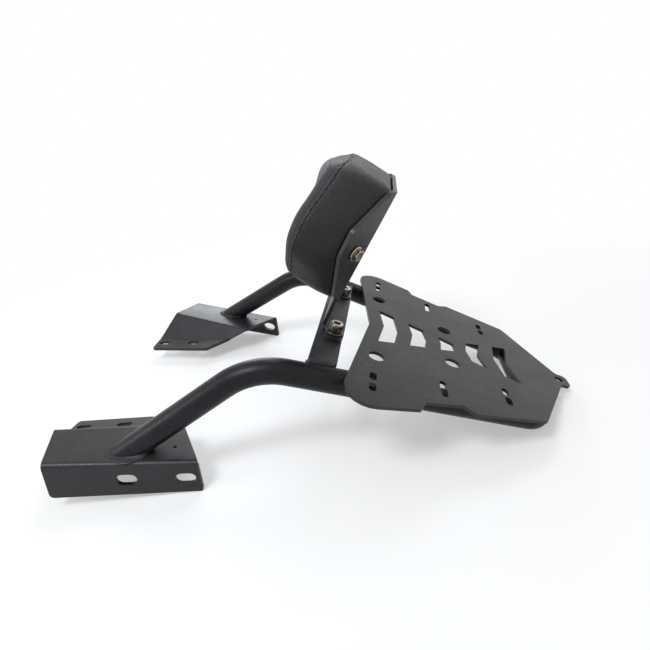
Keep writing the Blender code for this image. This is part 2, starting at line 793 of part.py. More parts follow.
def unfolded(half_width):
    """Distance from the middle on the flat blank, for a point this far out on the folded wing."""
    if half_width <= WING_FOLD_Y:
        return half_width
    return WING_FOLD_Y + (half_width - WING_FOLD_Y) / math.cos(WING_ANGLE)


def fold_wings(mesh, fold_y, radius, above):
    """Fold both wings of a sheet forward."""
    def on_back(place):
        return place.y > above

    bend(mesh, (fold_y, 0), (0, -1), WING_ANGLE, radius, on_back)
    bend(mesh, (-fold_y, 0), (0, 1), WING_ANGLE, radius, on_back)


def build_backrest_bracket(group, base, material):
    """The backrest's folded sheet: foot, tongue, leaning back plate and two wings."""
    outline, holes = back_blank()
    mesh = plate_mesh(outline, holes, BACK_THICKNESS)
    remember_flat(mesh)
    fold_wings(mesh, WING_FOLD_Y, BACK_BEND_RADIUS, LEAN_BEND_HEIGHT + BACK_LOW_EDGE / 2)
    bend(mesh, (0, LEAN_BEND_HEIGHT), (1, 0), LEAN_BEND, BACK_BEND_RADIUS)
    foot_fold = math.pi / 2 + TONGUE_LEAN
    bend(mesh, (0, 0), (-1, 0), foot_fold, BACK_BEND_RADIUS)
    finish_fold(mesh)
    bracket = new_object("backrest_bracket", mesh, group, base, material)
    bracket.rotation_euler = (math.pi / 2, 0, math.pi / 2)
    return bracket


def board_outline(inset):
    """The cushion board's outline on its flat blank, this far inside the cushion's."""
    half = []
    for height, half_width in CUSHION_BACK_CORNERS:
        outer = math.copysign(inset, height - cushion_middle())
        corner = CUSHION_BACK_RADIUS - inset
        half.append((height - outer, unfolded(half_width - inset), corner))
    return [Vector((point.y, point.x)) for point in rounded(mirrored_outline(half))]


# The cushion's outline beside the wings and at its front seam: (height, half width), bottom up
CUSHION_BACK_CORNERS = (
    (0.0056, 0.0572),
    (0.0503, 0.0797),
    (0.0716, 0.0797),
    (0.1089, 0.0517),
)
CUSHION_SEAM_CORNERS = (
    (0.0083, 0.0581),
    (0.0415, 0.0868),
    (0.0676, 0.0868),
    (0.1114, 0.0481),
)


def cushion_middle():
    """Half way up the cushion's front seam."""
    return (CUSHION_SEAM_CORNERS[0][0] + CUSHION_SEAM_CORNERS[-1][0]) / 2


def cushion_outline(corners, radius):
    """One of the cushion's outlines, with evenly spaced points."""
    half = [(height, half_width, radius) for height, half_width in corners]
    outline = [Vector((point.y, point.x)) for point in rounded(mirrored_outline(half))]
    return even_outline(outline, CUSHION_SIDE_POINTS)


def board_depth():
    """The board's middle plane, measured forward from the bracket's."""
    return BACK_THICKNESS / 2 + SEAT_GAP + BOARD_THICKNESS / 2


def folded_board_mesh(inset, grow, holes):
    """The board, or the pocket it lies in when grown on all sides."""
    thickness = BOARD_THICKNESS + 2 * grow
    mesh = plate_mesh(board_outline(inset - grow), holes, thickness)
    remember_flat(mesh)
    fold_y = WING_FOLD_Y - board_depth() * math.tan(abs(WING_ANGLE) / 2)
    radius = thickness / 2 + BACK_BEND_RADIUS
    fold_wings(mesh, fold_y, radius, -1)
    finish_fold(mesh)
    return mesh


def stand_on_back(item):
    """Turn a sheet drawn flat (X across, Y up) to stand on the leaning back plate's axes."""
    item.rotation_euler = (math.pi / 2, 0, math.pi / 2)
    item.location = (-board_depth(), 0, 0)


def build_cushion_board(group, face, material):
    """The stiff board inside the cushion, bent like the wings, with a hole for each insert."""
    holes = []
    shift = board_depth() * math.tan(abs(WING_ANGLE) / 2)
    for sign in SIDES.values():
        place = unfolded(PAD_BOLT_Y) - 2 * shift
        holes.append(ring(sign * place, PAD_BOLT_HEIGHT, INSERT_RADIUS + SEAT_GAP))
    mesh = folded_board_mesh(BOARD_INSET, 0, holes)
    board = new_object("cushion_board", mesh, group, face, material)
    stand_on_back(board)
    return board


def cushion_ring(points, shrink, depth):
    """One ring of the cushion: the outline drawn in towards the middle, at a depth ahead."""
    middle = Vector((0, cushion_middle()))
    ring_points = []
    for point in points:
        place = middle + (point - middle) * shrink
        ring_points.append(Vector((-depth(place), place.x, place.y)))
    return ring_points


def even_outline(outline, count):
    """The outline again, with its points evenly spaced."""
    lengths = [0.0]
    closed = outline + outline[:1]
    for start, end in zip(closed, closed[1:]):
        lengths.append(lengths[-1] + (end - start).length)
    result = []
    index = 0
    for step in range(count):
        target = lengths[-1] * step / count
        while lengths[index + 1] < target:
            index += 1
        share = (target - lengths[index]) / (lengths[index + 1] - lengths[index])
        result.append(closed[index].lerp(closed[index + 1], share))
    return result


def back_face_depth(place):
    """How far ahead the front of the folded wings lies at this distance from the middle."""
    out = max(abs(place.x) - WING_FOLD_Y, 0)
    return BACK_THICKNESS / 2 + CUSHION_BACK_GAP + out * math.tan(abs(WING_ANGLE))


def seam_depth(place):
    """How far ahead the cushion's front seam lies."""
    wrap = CUSHION_SEAM_WRAP * (place.x / BACK_SIDE_HALF) ** 2
    return CUSHION_SEAM_DEPTH + wrap + CUSHION_SEAM_LEAN * (place.y - cushion_middle())


def crown_depth(shrink):
    """The padded front's depth: a full crown that drops to the sides and rolls over at the top."""
    top = CUSHION_SEAM_CORNERS[-1][0]

    def depth(place):
        aside = min(abs(place.x) / CUSHION_SIDE_RUN, 1)
        below = min((top - place.y) / CUSHION_TOP_ROLL, 1)
        crown = CUSHION_CROWN - CUSHION_SIDE_DROP * math.sin(aside * math.pi / 2)
        crown *= math.sin(below * math.pi / 2) * (1 - shrink ** CROWN_POWER)
        return seam_depth(place) + crown
    return depth


def build_cushion(group, cutters, face, material):
    """The cushion: straight sides forward from the wings to the seam, then a full front."""
    back = cushion_outline(CUSHION_BACK_CORNERS, CUSHION_BACK_RADIUS)
    seam = cushion_outline(CUSHION_SEAM_CORNERS, CUSHION_SEAM_RADIUS)
    rings = [cushion_ring(back, share, back_face_depth) for share in BACK_RING_SHARES]
    rings.append(cushion_ring(seam, 1, seam_depth))
    for shrink in CROWN_RING_SHARES:
        rings.append(cushion_ring(seam, shrink, crown_depth(shrink)))
    shape = bmesh.new()
    loops = [[shape.verts.new(place) for place in places] for places in rings]
    count = CUSHION_SIDE_POINTS
    for near, far in zip(loops, loops[1:]):
        for index in range(count):
            after = (index + 1) % count
            shape.faces.new((near[index], near[after], far[after], far[index]))
    ends = [shape.faces.new(loops[0]), shape.faces.new(loops[-1])]
    bmesh.ops.poke(shape, faces=ends)
    bmesh.ops.recalc_face_normals(shape, faces=shape.faces)
    mesh = bpy.data.meshes.new("cushion")
    shape.to_mesh(mesh)
    shape.free()
    cushion = new_object("cushion", mesh, group, face, material)
    pocket_mesh = folded_board_mesh(BOARD_INSET, POCKET_CLEARANCE, [])
    pocket = new_object("board_pocket", pocket_mesh, cutters, face)
    stand_on_back(pocket)
    cut(cushion, pocket)
    return cushion


def socket_screw_mesh(shank):
    """A socket cap screw that points down, with its head's seat at zero."""
    top = SCREW_HEAD_HEIGHT
    head = SCREW_HEAD_RADIUS
    profile = [
        (0, top),
        (head - SCREW_CHAMFER, top),
        (head, top - SCREW_CHAMFER),
        (head, 0),
        (SCREW_RADIUS, 0),
        (SCREW_RADIUS, -shank),
        (0, -shank),
    ]
    return turned_mesh(profile)


def build_foot_fasteners(group, cutters, frame, silver):
    """Screw, washers and nut on each side that hold the backrest's foot to the cross bar."""
    foot_top = BAR_TOP_Z + SEAT_GAP + BACK_THICKNESS
    bar_low = BAR_TOP_Z - BAR_THICKNESS
    washer_z = foot_top + SEAT_GAP
    screw_z = washer_z + WASHER_THICKNESS + SEAT_GAP
    under_z = bar_low - SEAT_GAP - WASHER_THICKNESS
    nut_z = under_z - SEAT_GAP - NUT_HEIGHT
    shank = screw_z - nut_z + SCREW_TAIL
    bore = SCREW_RADIUS + BOLT_CLEARANCE
    for side, sign in SIDES.items():
        spot = (FOOT_SCREW_X, sign * FOOT_SCREW_Y)
        screw = new_object("foot_screw_" + side, socket_screw_mesh(shank), group, frame, silver)
        screw.location = (*spot, screw_z)
        socket = hex_mesh(SCREW_SOCKET_RADIUS, 2 * SCREW_SOCKET_DEPTH)
        key = new_object("socket_cutter_" + side, socket, cutters, frame)
        key.location = (*spot, screw_z + SCREW_HEAD_HEIGHT - SCREW_SOCKET_DEPTH)
        cut(screw, key)
        for name, low in (("foot_washer_", washer_z), ("under_washer_", under_z)):
            mesh = turned_ring_mesh(WASHER_RADIUS, bore, 0, WASHER_THICKNESS)
            washer = new_object(name + side, mesh, group, frame, silver)
            washer.location = (*spot, low)
        nut = new_object("foot_nut_" + side, hex_mesh(HEX_RADIUS, NUT_HEIGHT), group, frame, silver)
        nut.location = (*spot, nut_z)
        shape = turned_mesh(drill_profile(2 * NUT_HEIGHT))
        drill = new_object("nut_drill_" + side, shape, cutters, frame)
        drill.location = nut.location
        cut(nut, drill)


def build_pad_fasteners(group, face, silver):
    """Bolt, washer and threaded insert on each wing that hold the cushion's board."""
    wing_out = PAD_BOLT_Y - WING_FOLD_Y
    ahead = wing_out * math.tan(abs(WING_ANGLE))
    sheet = BACK_THICKNESS / 2
    washer_at = sheet + SEAT_GAP
    head_at = washer_at + WASHER_THICKNESS + SEAT_GAP
    insert_at = board_depth() + BOARD_THICKNESS / 2 - INSERT_LENGTH
    bore = SCREW_RADIUS + BOLT_CLEARANCE
    shank = head_at + insert_at + INSERT_LENGTH - PAD_BOLT_END
    bolt_profile = [
        (0, HEX_HEAD_HEIGHT / 2),
        (SCREW_RADIUS, HEX_HEAD_HEIGHT / 2),
        (SCREW_RADIUS, -shank),
        (0, -shank),
    ]
    for side, sign in SIDES.items():
        seat = new_empty("pad_bolt_axis_" + side, group, face)
        seat.location = (-ahead, sign * PAD_BOLT_Y, PAD_BOLT_HEIGHT)
        seat.rotation_euler = (0, math.pi / 2, -sign * WING_ANGLE)
        bolt = new_object("pad_bolt_" + side, turned_mesh(bolt_profile), group, seat, silver)
        bolt.location.z = head_at
        head = new_object("bolt_head_" + side, hex_mesh(HEX_RADIUS, HEX_HEAD_HEIGHT), group, seat)
        head.location.z = head_at
        join(bolt, head)
        mesh = turned_ring_mesh(WASHER_RADIUS, bore, 0, WASHER_THICKNESS)
        washer = new_object("pad_washer_" + side, mesh, group, seat, silver)
        washer.location.z = washer_at
        mesh = turned_ring_mesh(INSERT_RADIUS, bore, -INSERT_LENGTH, 0)
        insert = new_object("pad_insert_" + side, mesh, group, seat, silver)
        insert.location.z = -insert_at


def join(item, addition):
    """Unite a second solid with a piece, and keep only the piece."""
    modifier = item.modifiers.new("join", "BOOLEAN")
    modifier.operation = "UNION"
    modifier.solver = "EXACT"
    modifier.object = addition
    bpy.context.view_layer.update()
    mesh = evaluated_mesh(item)
    item.modifiers.remove(modifier)
    item.data = mesh
    bpy.data.objects.remove(addition, do_unlink=True)


def build_foot_weld(name, group, frame, material):
    """The bead round a leg where it meets its bracket."""
    axes = bracket_axes()
    up = axes.to_3x3() @ Vector((0, 0, 1))
    direction = leg_direction()
    lift = SEAT_GAP + FOOT_WELD_RADIUS
    reach = TUBE_RADIUS + lift
    first = direction.cross(up).normalized()
    second = direction.cross(first)
    plane_point = foot_point() + up * lift
    points = []
    for step in range(TURN_STEPS):
        angle = 2 * math.pi * step / TURN_STEPS
        spoke = foot_point() + (first * math.cos(angle) + second * math.sin(angle)) * reach
        slide = (plane_point - spoke).dot(up) / direction.dot(up)
        points.append(spoke + direction * slide)
    mesh = bead_mesh(points, FOOT_WELD_RADIUS, True)
    return new_object(name, mesh, group, frame, material)


def bead_mesh(points, radius, cyclic):
    """A weld bead along a route, with few sides."""
    curve = bpy.data.curves.new("bead", "CURVE")
    curve.dimensions = "3D"
    curve.bevel_depth = radius
    curve.bevel_resolution = BEAD_RESOLUTION
    curve.use_fill_caps = not cyclic
    spline = curve.splines.new("POLY")
    spline.points.add(len(points) - 1)
    for point, place in zip(spline.points, points):
        point.co = (*place, 1.0)
    spline.use_cyclic_u = cyclic
    carrier = bpy.data.objects.new("bead", curve)
    bpy.context.scene.collection.objects.link(carrier)
    mesh = evaluated_mesh(carrier)
    bpy.data.objects.remove(carrier, do_unlink=True)
    weld_caps(mesh)
    return mesh


def build_bar_weld(name, group, frame, material):
    """The bead that joins an end of the cross bar to the crest of its rail."""
    run = rail_direction()
    inward = Vector((run.y, -run.x, 0))
    out = BAR_END_INSET - SEAT_GAP - BAR_WELD_RADIUS
    reach = TUBE_RADIUS + SEAT_GAP + BAR_WELD_RADIUS
    centre = rail_point(BAR_X) + inward * out
    centre.z = RAIL_Z + math.sqrt(reach ** 2 - out ** 2)
    half = run * (BAR_WIDTH / 2)
    mesh = bead_mesh([centre - half, centre + half], BAR_WELD_RADIUS, False)
    return new_object(name, mesh, group, frame, material)


def build_plate_weld(name, x, group, frame, material):
    """A stitch in the corner between the plate's underside and the outside of a rail."""
    run = rail_direction()
    outward = Vector((-run.y, run.x, 0))
    radius = PLATE_WELD_RADIUS
    drop = TUBE_RADIUS - radius
    reach = TUBE_RADIUS + SEAT_GAP + radius
    start = rail_point(x) + outward * math.sqrt(reach ** 2 - drop ** 2)
    start.z = RAIL_Z + drop
    mesh = bead_mesh([start, start + run * PLATE_WELD_LENGTH], radius, False)
    return new_object(name, mesh, group, frame, material)


def tangent_tilt(corner):
    """Slope of a line from a bracket's corner to the underside of the rear cross tube."""
    run = CROSS_TUBE_X - corner.x
    rise = RAIL_Z - corner.z
    return math.atan2(rise, run) - math.asin(TUBE_RADIUS / math.hypot(run, rise))


def stand_on_ground(frame, group, bracket):
    """Tilt the rack onto its brackets and rear tube, and centre it over the origin."""
    mesh = evaluated_mesh(bracket)
    mesh.transform(bracket.matrix_basis)
    frame.rotation_euler.y = max(tangent_tilt(corner.co) for corner in mesh.vertices)
    bpy.context.view_layer.update()
    places = []
    for item in group.objects:
        if item.type == "MESH":
            solid = evaluated_mesh(item)
            places += [item.matrix_world @ corner.co for corner in solid.vertices]
    low = Vector([min(place[axis] for place in places) for axis in range(3)])
    high = Vector([max(place[axis] for place in places) for axis in range(3)])
    frame.location = (-(low.x + high.x) / 2, -(low.y + high.y) / 2, -low.z)


def main():
    """Build the rack and stand it on the ground."""
    clear_scene()
    group = new_collection("luggage_rack")
    cutters = new_collection("cutters")
    coat = new_material("black_powder_coat", (0.022, 0.022, 0.024), 0.42, 0.0)
    leather = new_material("black_leather", (0.02, 0.02, 0.021), 0.45, 0.0)
    board_black = new_material("black_board", (0.01, 0.01, 0.01), 0.7, 0.0)
    silver = new_material("zinc_plated_steel", (0.55, 0.53, 0.47), 0.3, 1.0)
    frame = new_empty("rack_frame", group)
    base = new_empty("backrest_base", group, frame)
    foot_middle = BAR_TOP_Z + SEAT_GAP + BACK_THICKNESS / 2
    base.location = (TONGUE_X, 0, foot_middle)
    base.rotation_euler.y = TONGUE_LEAN
    face = new_empty("backrest_face", group, base)
    face.location.z = LEAN_BEND_HEIGHT
    face.rotation_euler.y = LEAN_BEND

    build_rail_hoop(group, cutters, frame, coat)
    build_rack_plate(group, frame, coat)
    build_cross_bar(group, cutters, frame, coat)
    build_backrest_bracket(group, base, coat)
    build_cushion_board(group, face, board_black)
    build_cushion(group, cutters, face, leather)
    build_foot_fasteners(group, cutters, frame, silver)
    build_pad_fasteners(group, face, silver)

    def side_bracket(name):
        return build_side_bracket(name, group, frame, coat)

    def foot_weld(name):
        return build_foot_weld(name, group, frame, coat)

    def bar_weld(name):
        return build_bar_weld(name, group, frame, coat)

    brackets = both_sides(side_bracket, "side_bracket", group)
    both_sides(foot_weld, "foot_weld", group)
    both_sides(bar_weld, "bar_weld", group)
    for spot, x in (("front", PLATE_WELD_FRONT_X), ("rear", PLATE_WELD_REAR_X)):
        def plate_weld(name):
            return build_plate_weld(name, x, group, frame, coat)

        both_sides(plate_weld, "plate_weld_" + spot, group)
    bpy.context.view_layer.update()
    stand_on_ground(frame, group, brackets[1])


main()
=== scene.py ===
"""Looks of the motorbike luggage rack with its padded backrest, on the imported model's frame."""

import math

import bmesh
import bpy
from mathutils import Euler, Matrix, Vector, noise


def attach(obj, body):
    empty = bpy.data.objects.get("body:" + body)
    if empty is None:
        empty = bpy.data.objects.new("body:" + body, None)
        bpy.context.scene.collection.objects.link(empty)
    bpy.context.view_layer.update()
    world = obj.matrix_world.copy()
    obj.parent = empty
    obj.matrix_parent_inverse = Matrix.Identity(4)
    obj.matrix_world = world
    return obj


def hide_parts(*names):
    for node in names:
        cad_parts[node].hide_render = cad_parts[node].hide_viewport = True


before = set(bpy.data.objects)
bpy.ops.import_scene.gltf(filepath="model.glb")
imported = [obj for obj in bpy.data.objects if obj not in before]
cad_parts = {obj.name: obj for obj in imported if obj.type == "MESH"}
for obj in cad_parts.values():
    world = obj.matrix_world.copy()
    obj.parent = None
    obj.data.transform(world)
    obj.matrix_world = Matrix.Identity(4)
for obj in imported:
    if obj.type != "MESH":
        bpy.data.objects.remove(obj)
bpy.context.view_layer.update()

SIDES = {"left": -1, "right": 1}
FULL_TURN = 2 * math.pi
QUARTER_TURN = math.pi / 2

# The rack's own axes in the world: X to the rear along the plate, Y to the right, Z up from its top
RACK_TILT = math.radians(20.813306)
RACK_PLACE = (0.0573947, 0.0, 0.0808634)

# Camera of the photograph, in the rack's own axes
CAMERA_PLACE = (-0.0534476, -0.4134319, 0.1877489)
CAMERA_RIGHT = (0.956994, 0.125609, 0.261505)
CAMERA_UP = (-0.290075, 0.427771, 0.856077)
SENSOR_WIDTH = 36.0
LENS = 24.667

# Lamps: place, aim, width and power
LAMP_COLOUR = (0.9, 0.95, 1.0)
SOFTBOXES = {
    "softbox_near": ((-0.38, -0.72, 1.2), (-0.1, 0, 0.08), 0.4, 10.5),
    "softbox_left": ((-1.15, -0.6, 0.62), (-0.1, 0, 0.08), 0.45, 3.2),
    "softbox_top": ((0.1, 0.75, 1.25), (0, 0, 0.1), 0.5, 4.5),
    "softbox_far": ((-0.55, 1.45, 0.65), (-0.1, 0, 0.05), 0.6, 6.5),
}
WORLD_LIGHT = 0.5
FLOOR_RADIUS = 30
FLOOR_DROP = 0.0002
FLOOR_TONE = (0.9, 0.9, 0.9, 1.0)
FLOOR_WHITE_RUN = (0.22, 0.85)
FLOOR_WHITE_START = 0.38
WHITE = (1, 1, 1, 1)

# Sheet metal: corners closer than SHEET_MERGE are one, faces within SHEET_FLAT are one plane
SHEET_MERGE = 2e-6
SHEET_FLAT = math.radians(0.4)
SHEET_CORNER = math.radians(42)
SHEET_EDGE_RADII = {
    "rack_plate": 0.00045,
    "cross_bar": 0.0005,
    "backrest_bracket": 0.0005,
    "side_bracket_left": 0.0005,
    "side_bracket_right": 0.0005,
}

# Tube, bracket and bar sizes that the welds follow
TUBE_RADIUS = 0.011
RAIL_Z = -0.0143
RAIL_FRONT = (-0.098, 0.1159)
RAIL_REAR = (0.159, 0.064)
LEG_BEND_RADIUS = 0.062
CORNER_BEND_RADIUS = 0.016
BEND_STEP = math.radians(1.5)
TUBE_POINTS = 96
TUBE_SHARP = 50
BRACKET_PLACE = (-0.2382, 0.1713, -0.1274)
BRACKET_TURN = (3.5, -12.6, -11.8)
FOOT_ALONG = 0.0645
FOOT_INBOARD = 0.017
SEAT_GAP = 0.0003
BAR_X = -0.045
BAR_WIDTH = 0.025
BAR_END_INSET = 0.0085

# Fillets round the feet: wider on the outboard side, higher at the heel
FILLET_HEIGHT = 0.0026
FILLET_HEEL_GROWTH = 0.35
FILLET_WIDTH = 0.0013
FILLET_OUTER_WIDTH = 0.005
FILLET_OUTER_POWER = 5
FILLET_UNEVEN = 0.3
FILLET_UNEVEN_SCALE = 1.7
FILLET_LIFT = 0.0003
FILLET_RIPPLE = 0.00035
FILLET_SAG = 0.62
FILLET_SINK = 0.0006
FILLET_TUCK = 0.0004
FILLET_TOE_SINK = 0.00005
FILLET_FACE_POINTS = 8
FILLET_STEPS = 288

# Weld beads
BAR_BEAD = 0.0025
BAR_BEAD_INBOARD = 0.0013
BAR_BEAD_SINK = 0.0017
PLATE_BEAD = 0.002
PLATE_BEAD_LENGTH = 0.026
PLATE_BEAD_STARTS = {"front": 0.012, "rear": 0.118}
RIPPLE_PITCH = 0.0025
RIPPLE_RINGS = 6
RIPPLE_LAG = 0.55
RIPPLE_SWELL = 0.1
BEAD_SIDES = 20
BEAD_UNEVEN = 0.04
BEAD_UNEVEN_SCALE = 260
BEAD_END_FADE = 0.06

# Backrest axes
TONGUE_PLACE = (-0.0528, 0.0, -0.00125)
TONGUE_LEAN = math.radians(7)
LEAN_HEIGHT = 0.03
LEAN_BEND = math.radians(3.4)
WING_FOLD = 0.05
WING_ANGLE = math.radians(28.5)

# Cushion: outline corners as (height, half width), bottom up
BACK_CORNERS = ((0.0056, 0.0572), (0.0503, 0.0797), (0.0716, 0.0797), (0.1089, 0.0517))
SEAM_CORNERS = ((0.0083, 0.0581), (0.0415, 0.0868), (0.0676, 0.0868), (0.1114, 0.0481))
SEAM_MIDDLE = (SEAM_CORNERS[0][0] + SEAM_CORNERS[-1][0]) / 2
MIDDLE = Vector((0, SEAM_MIDDLE))
CUSHION_POINTS = 336
CORNER_STEPS = 12
BACK_CORNER_RADIUS = 0.017
SEAM_CORNER_RADIUS = 0.029
BACK_DEPTH = 0.00255
BACK_SHARES = (0.2, 0.5, 0.75, 0.9, 0.955)
BACK_ROLL = 0.0026
BACK_ROLL_STEPS = 4
SEAM_DEPTH = 0.0412
SEAM_WRAP = 0.0108
SEAM_LEAN = 0.02
SIDE_HALF = 0.0825

# Gusset, seam and the tucks that the thread pulls; seam steps as (inset, step back)
GUSSET_RINGS = 22
GUSSET_BULGE = 0.0018
GUSSET_RIPPLE = (55, 0.0004)
PUCKER = 0.00022
PUCKER_START = 0.82
PUCKER_RUN = 0.18
TUCK = 0.00025
TUCK_START = 0.8
TUCK_RUN = 0.2
TUCK_COUNT = 64
SEAM_STEPS = ((0.0, 0.0012), (0.0004, 0.0003), (0.0013, 0.0), (0.0009, -0.0007))

# Crowned front, with its swell at the top middle
CROWN = 0.0182
CROWN_SIDE_DROP = 0.0027
CROWN_SIDE_RUN = 0.054
CROWN_TOP_ROLL = 0.0099
CROWN_POWER = 6.2
CROWN_RINGS = 36
CROWN_REACH = 0.985
CROWN_SPREAD = 2.1
CROWN_RIPPLE = (42, 0.0005)
SEAM_WELT = 0.0004
TOP_SWELL = 0.0055
TOP_SWELL_HEIGHT = 0.096
TOP_SWELL_RUN = (0.046, 0.02)
TOP_SWELL_POWER = 1.5
EDGE_ROLL = 0.24
EDGE_POWER = 26

# Stitches
STITCH_PITCH = 0.0036
STITCH_LENGTH = 0.0026
STITCH_RADIUS = 0.00032
STITCH_INSET = 0.0021
STITCH_LIFT = 0.0003
STITCH_RINGS = 6
STITCH_SIDES = 8

# Fasteners; the lifts are heights over each one's seat
SCREW_RADIUS = 0.004
SCREW_NECK = 0.35
HEAD_RADIUS = 0.0065
HEAD_HEIGHT = 0.008
KNURL_DEPTH = 0.00022
KNURL_COUNT = 30
SOCKET_FLAT = 0.00294
SOCKET_DEPTH = 0.004
HEX_FLAT = 0.0065
HEX_CHAMFER_START = 0.95
HEX_CHAMFER_SLOPE = math.tan(math.radians(30))
PAD_HEX_FLAT = 0.005
PAD_HEAD_HEIGHT = 0.0036
PAD_WASHER_RADIUS = 0.0066
NUT_HEIGHT = 0.0065
WASHER_RADIUS = 0.0085
WASHER_BORE = 0.0044
WASHER_THICKNESS = 0.0016
THREAD_PITCH = 0.00125
THREAD_DEPTH = 0.54 * THREAD_PITCH
THREAD_RINGS = 6
FOOT_SCREW = (-0.0415, 0.0462)
FOOT_SCREW_LENGTH = 0.0227
FOOT_SCREW_LIFT = 0.0027
FOOT_WASHER_LIFT = 0.0008
UNDER_WASHER_LIFT = -0.0102
FOOT_NUT_LIFT = -0.017
PAD_BOLT = (-0.00842, 0.0655, 0.0553)
PAD_BOLT_LENGTH = 0.017
PAD_BOLT_LIFT = 0.0037
PAD_WASHER_LIFT = 0.00205

# Powder coats: name, dark and light tone, roughness when smooth and rough, specular, peel height
POWDER_COATS = {
    "sheet": (
        "sheet_powder_coat", (0.0085, 0.0086, 0.0105), (0.0135, 0.0136, 0.016),
        0.34, 0.42, 0.36, 0.00009),
    # The tube's tones are darker than the sheet's, partly as painted shade for the tube under the
    # plate
    "tube": (
        "tube_powder_coat_with_painted_shade", (0.004, 0.004, 0.0058), (0.0075, 0.0075, 0.0098),
        0.3, 0.38, 0.2, 0.00013),
    "bead": (
        "bead_powder_coat", (0.0085, 0.0085, 0.0105), (0.0135, 0.0135, 0.016),
        0.26, 0.34, 0.3, 0.00007),
}
# The powder coat's lighter convex edges are edge wear and a painted edge highlight
COAT_EDGE_WEAR_AND_HIGHLIGHT = 0.35
COAT_EDGE_WEAR_AND_HIGHLIGHT_TONE = (0.05, 0.051, 0.054)
COAT_DUST = 0.22
COAT_DUST_TONE = (0.2, 0.19, 0.175)

# Dull blacks: name, roughness, scale of the grain, its mask, dark and light tone, bump strength
DULL_BLACKS = {
    "thread": (
        "seam_thread", 0.6, 3000.0, "Speck",
        (0.02, 0.02, 0.021), (0.045, 0.045, 0.046), 0.7),
    "board": (
        "board_black", 0.65, 500.0, "Mottle",
        (0.008, 0.008, 0.008), (0.016, 0.015, 0.014), 0.6),
}

# Platings: name, bright and dull tone, and the tone of painted shade on flanks, the faces that
# don't face up
PLATINGS = {
    "zinc": ("zinc_plate", (0.7, 0.68, 0.64), (0.42, 0.4, 0.37), (0.1, 0.088, 0.076)),
    "washer": ("dull_zinc", (0.13, 0.115, 0.1), (0.075, 0.066, 0.058), None),
    "brass": ("yellow_zinc", (0.55, 0.49, 0.38), (0.34, 0.3, 0.23), None),
}

# Leather: its tones, what being stretched over the front does to it, and painted light as a lighter
# tone on faces turned to the front and up
PEBBLE_TONE = (0.0085, 0.0083, 0.0102)
CREASE_TONE = (0.003, 0.003, 0.0035)
LEATHER_DUST_TONE = (0.16, 0.155, 0.15)
CROWN_PAINTED_LIGHT_TONE = (0.024, 0.0235, 0.0262)
STRETCHED_MATT = 0.3
STRETCHED_FLAT = 0.96
STRETCHED_FACING = (-0.92, 0, 0.39)


def rack_axes():
    """The rack's own axes, tilted as it stands on the floor."""
    return Matrix.Translation(RACK_PLACE) @ Matrix.Rotation(RACK_TILT, 4, "Y")


def backrest_axes():
    """Axes of the leaning back plate: X to the rear, Y to the right, Z up along it."""
    base = rack_axes() @ Matrix.Translation(TONGUE_PLACE) @ Matrix.Rotation(TONGUE_LEAN, 4, "Y")
    return base @ Matrix.Translation((0, 0, LEAN_HEIGHT)) @ Matrix.Rotation(LEAN_BEND, 4, "Y")


# Shader nodes


def add_node(tree, kind, **settings):
    """A node with its settings, and its inputs set by name."""
    node = tree.nodes.new(kind)
    for label, value in settings.pop("inputs", {}).items():
        node.inputs[label].default_value = value
    for label, value in settings.items():
        setattr(node, label, value)
    return node


def feed(tree, value, socket):
    """A socket fed by another socket, or set to a plain value."""
    if isinstance(value, bpy.types.NodeSocket):
        tree.links.new(value, socket)
    else:
        socket.default_value = value


def math_node(tree, operation, first, *others, clamp=False):
    """Sockets or plain numbers worked into one value from left to right."""
    for index, second in enumerate(others, 1):
        node = add_node(tree, "ShaderNodeMath", operation=operation)
        node.use_clamp = clamp and index == len(others)
        feed(tree, first, node.inputs[0])
        feed(tree, second, node.inputs[1])
        first = node.outputs[0]
    return first


def weighted_sum(tree, base, *terms):
    """A base value and masks times their shares, held between zero and one."""
    parts = [math_node(tree, "MULTIPLY", mask, share) for mask, share in terms]
    return math_node(tree, "ADD", *parts, base, clamp=True)


def remap(tree, value, low, high, to_low=0.0, to_high=1.0):
    """A value's range stretched to another, clamped."""
    node = add_node(tree, "ShaderNodeMapRange", inputs={
        "From Min": low, "From Max": high, "To Min": to_low, "To Max": to_high})
    tree.links.new(value, node.inputs["Value"])
    return node.outputs["Result"]


def scaled_noise(tree, place, scale, detail=3.0, rough=0.55):
    """Noise at a scale, which may be a number or a socket."""
    node = add_node(tree, "ShaderNodeTexNoise", inputs={"Detail": detail, "Roughness": rough})
    tree.links.new(place, node.inputs["Vector"])
    feed(tree, scale, node.inputs["Scale"])
    return node.outputs["Fac"]


def facing_mask(tree, direction, low, high):
    """A mask that grows from zero to one as a face turns to a direction of its object."""
    surface = add_node(tree, "ShaderNodeTexCoord")
    along = add_node(tree, "ShaderNodeVectorMath", operation="DOT_PRODUCT")
    along.inputs[1].default_value = direction
    tree.links.new(surface.outputs["Normal"], along.inputs[0])
    return remap(tree, along.outputs["Value"], low, high)


def blend_shaders(tree, factor, first, second, output):
    """Two shaders blended into the tree's output."""
    blend = tree.nodes.new("ShaderNodeMixShader")
    for value, socket in zip((factor, first, second), blend.inputs):
        tree.links.new(value, socket)
    tree.links.new(blend.outputs["Shader"], tree.nodes[output].inputs["Surface"])


# Shader groups


def open_group(name, inputs):
    """A shader group with its inputs at their usual values, and the place on the object."""
    tree = bpy.data.node_groups.new(name, "ShaderNodeTree")
    for label, value in inputs.items():
        socket = tree.interface.new_socket(label, in_out="INPUT", socket_type="NodeSocketFloat")
        socket.default_value = value
    start = tree.nodes.new("NodeGroupInput")
    place = add_node(tree, "ShaderNodeTexCoord").outputs["Object"]
    return tree, start.outputs, place


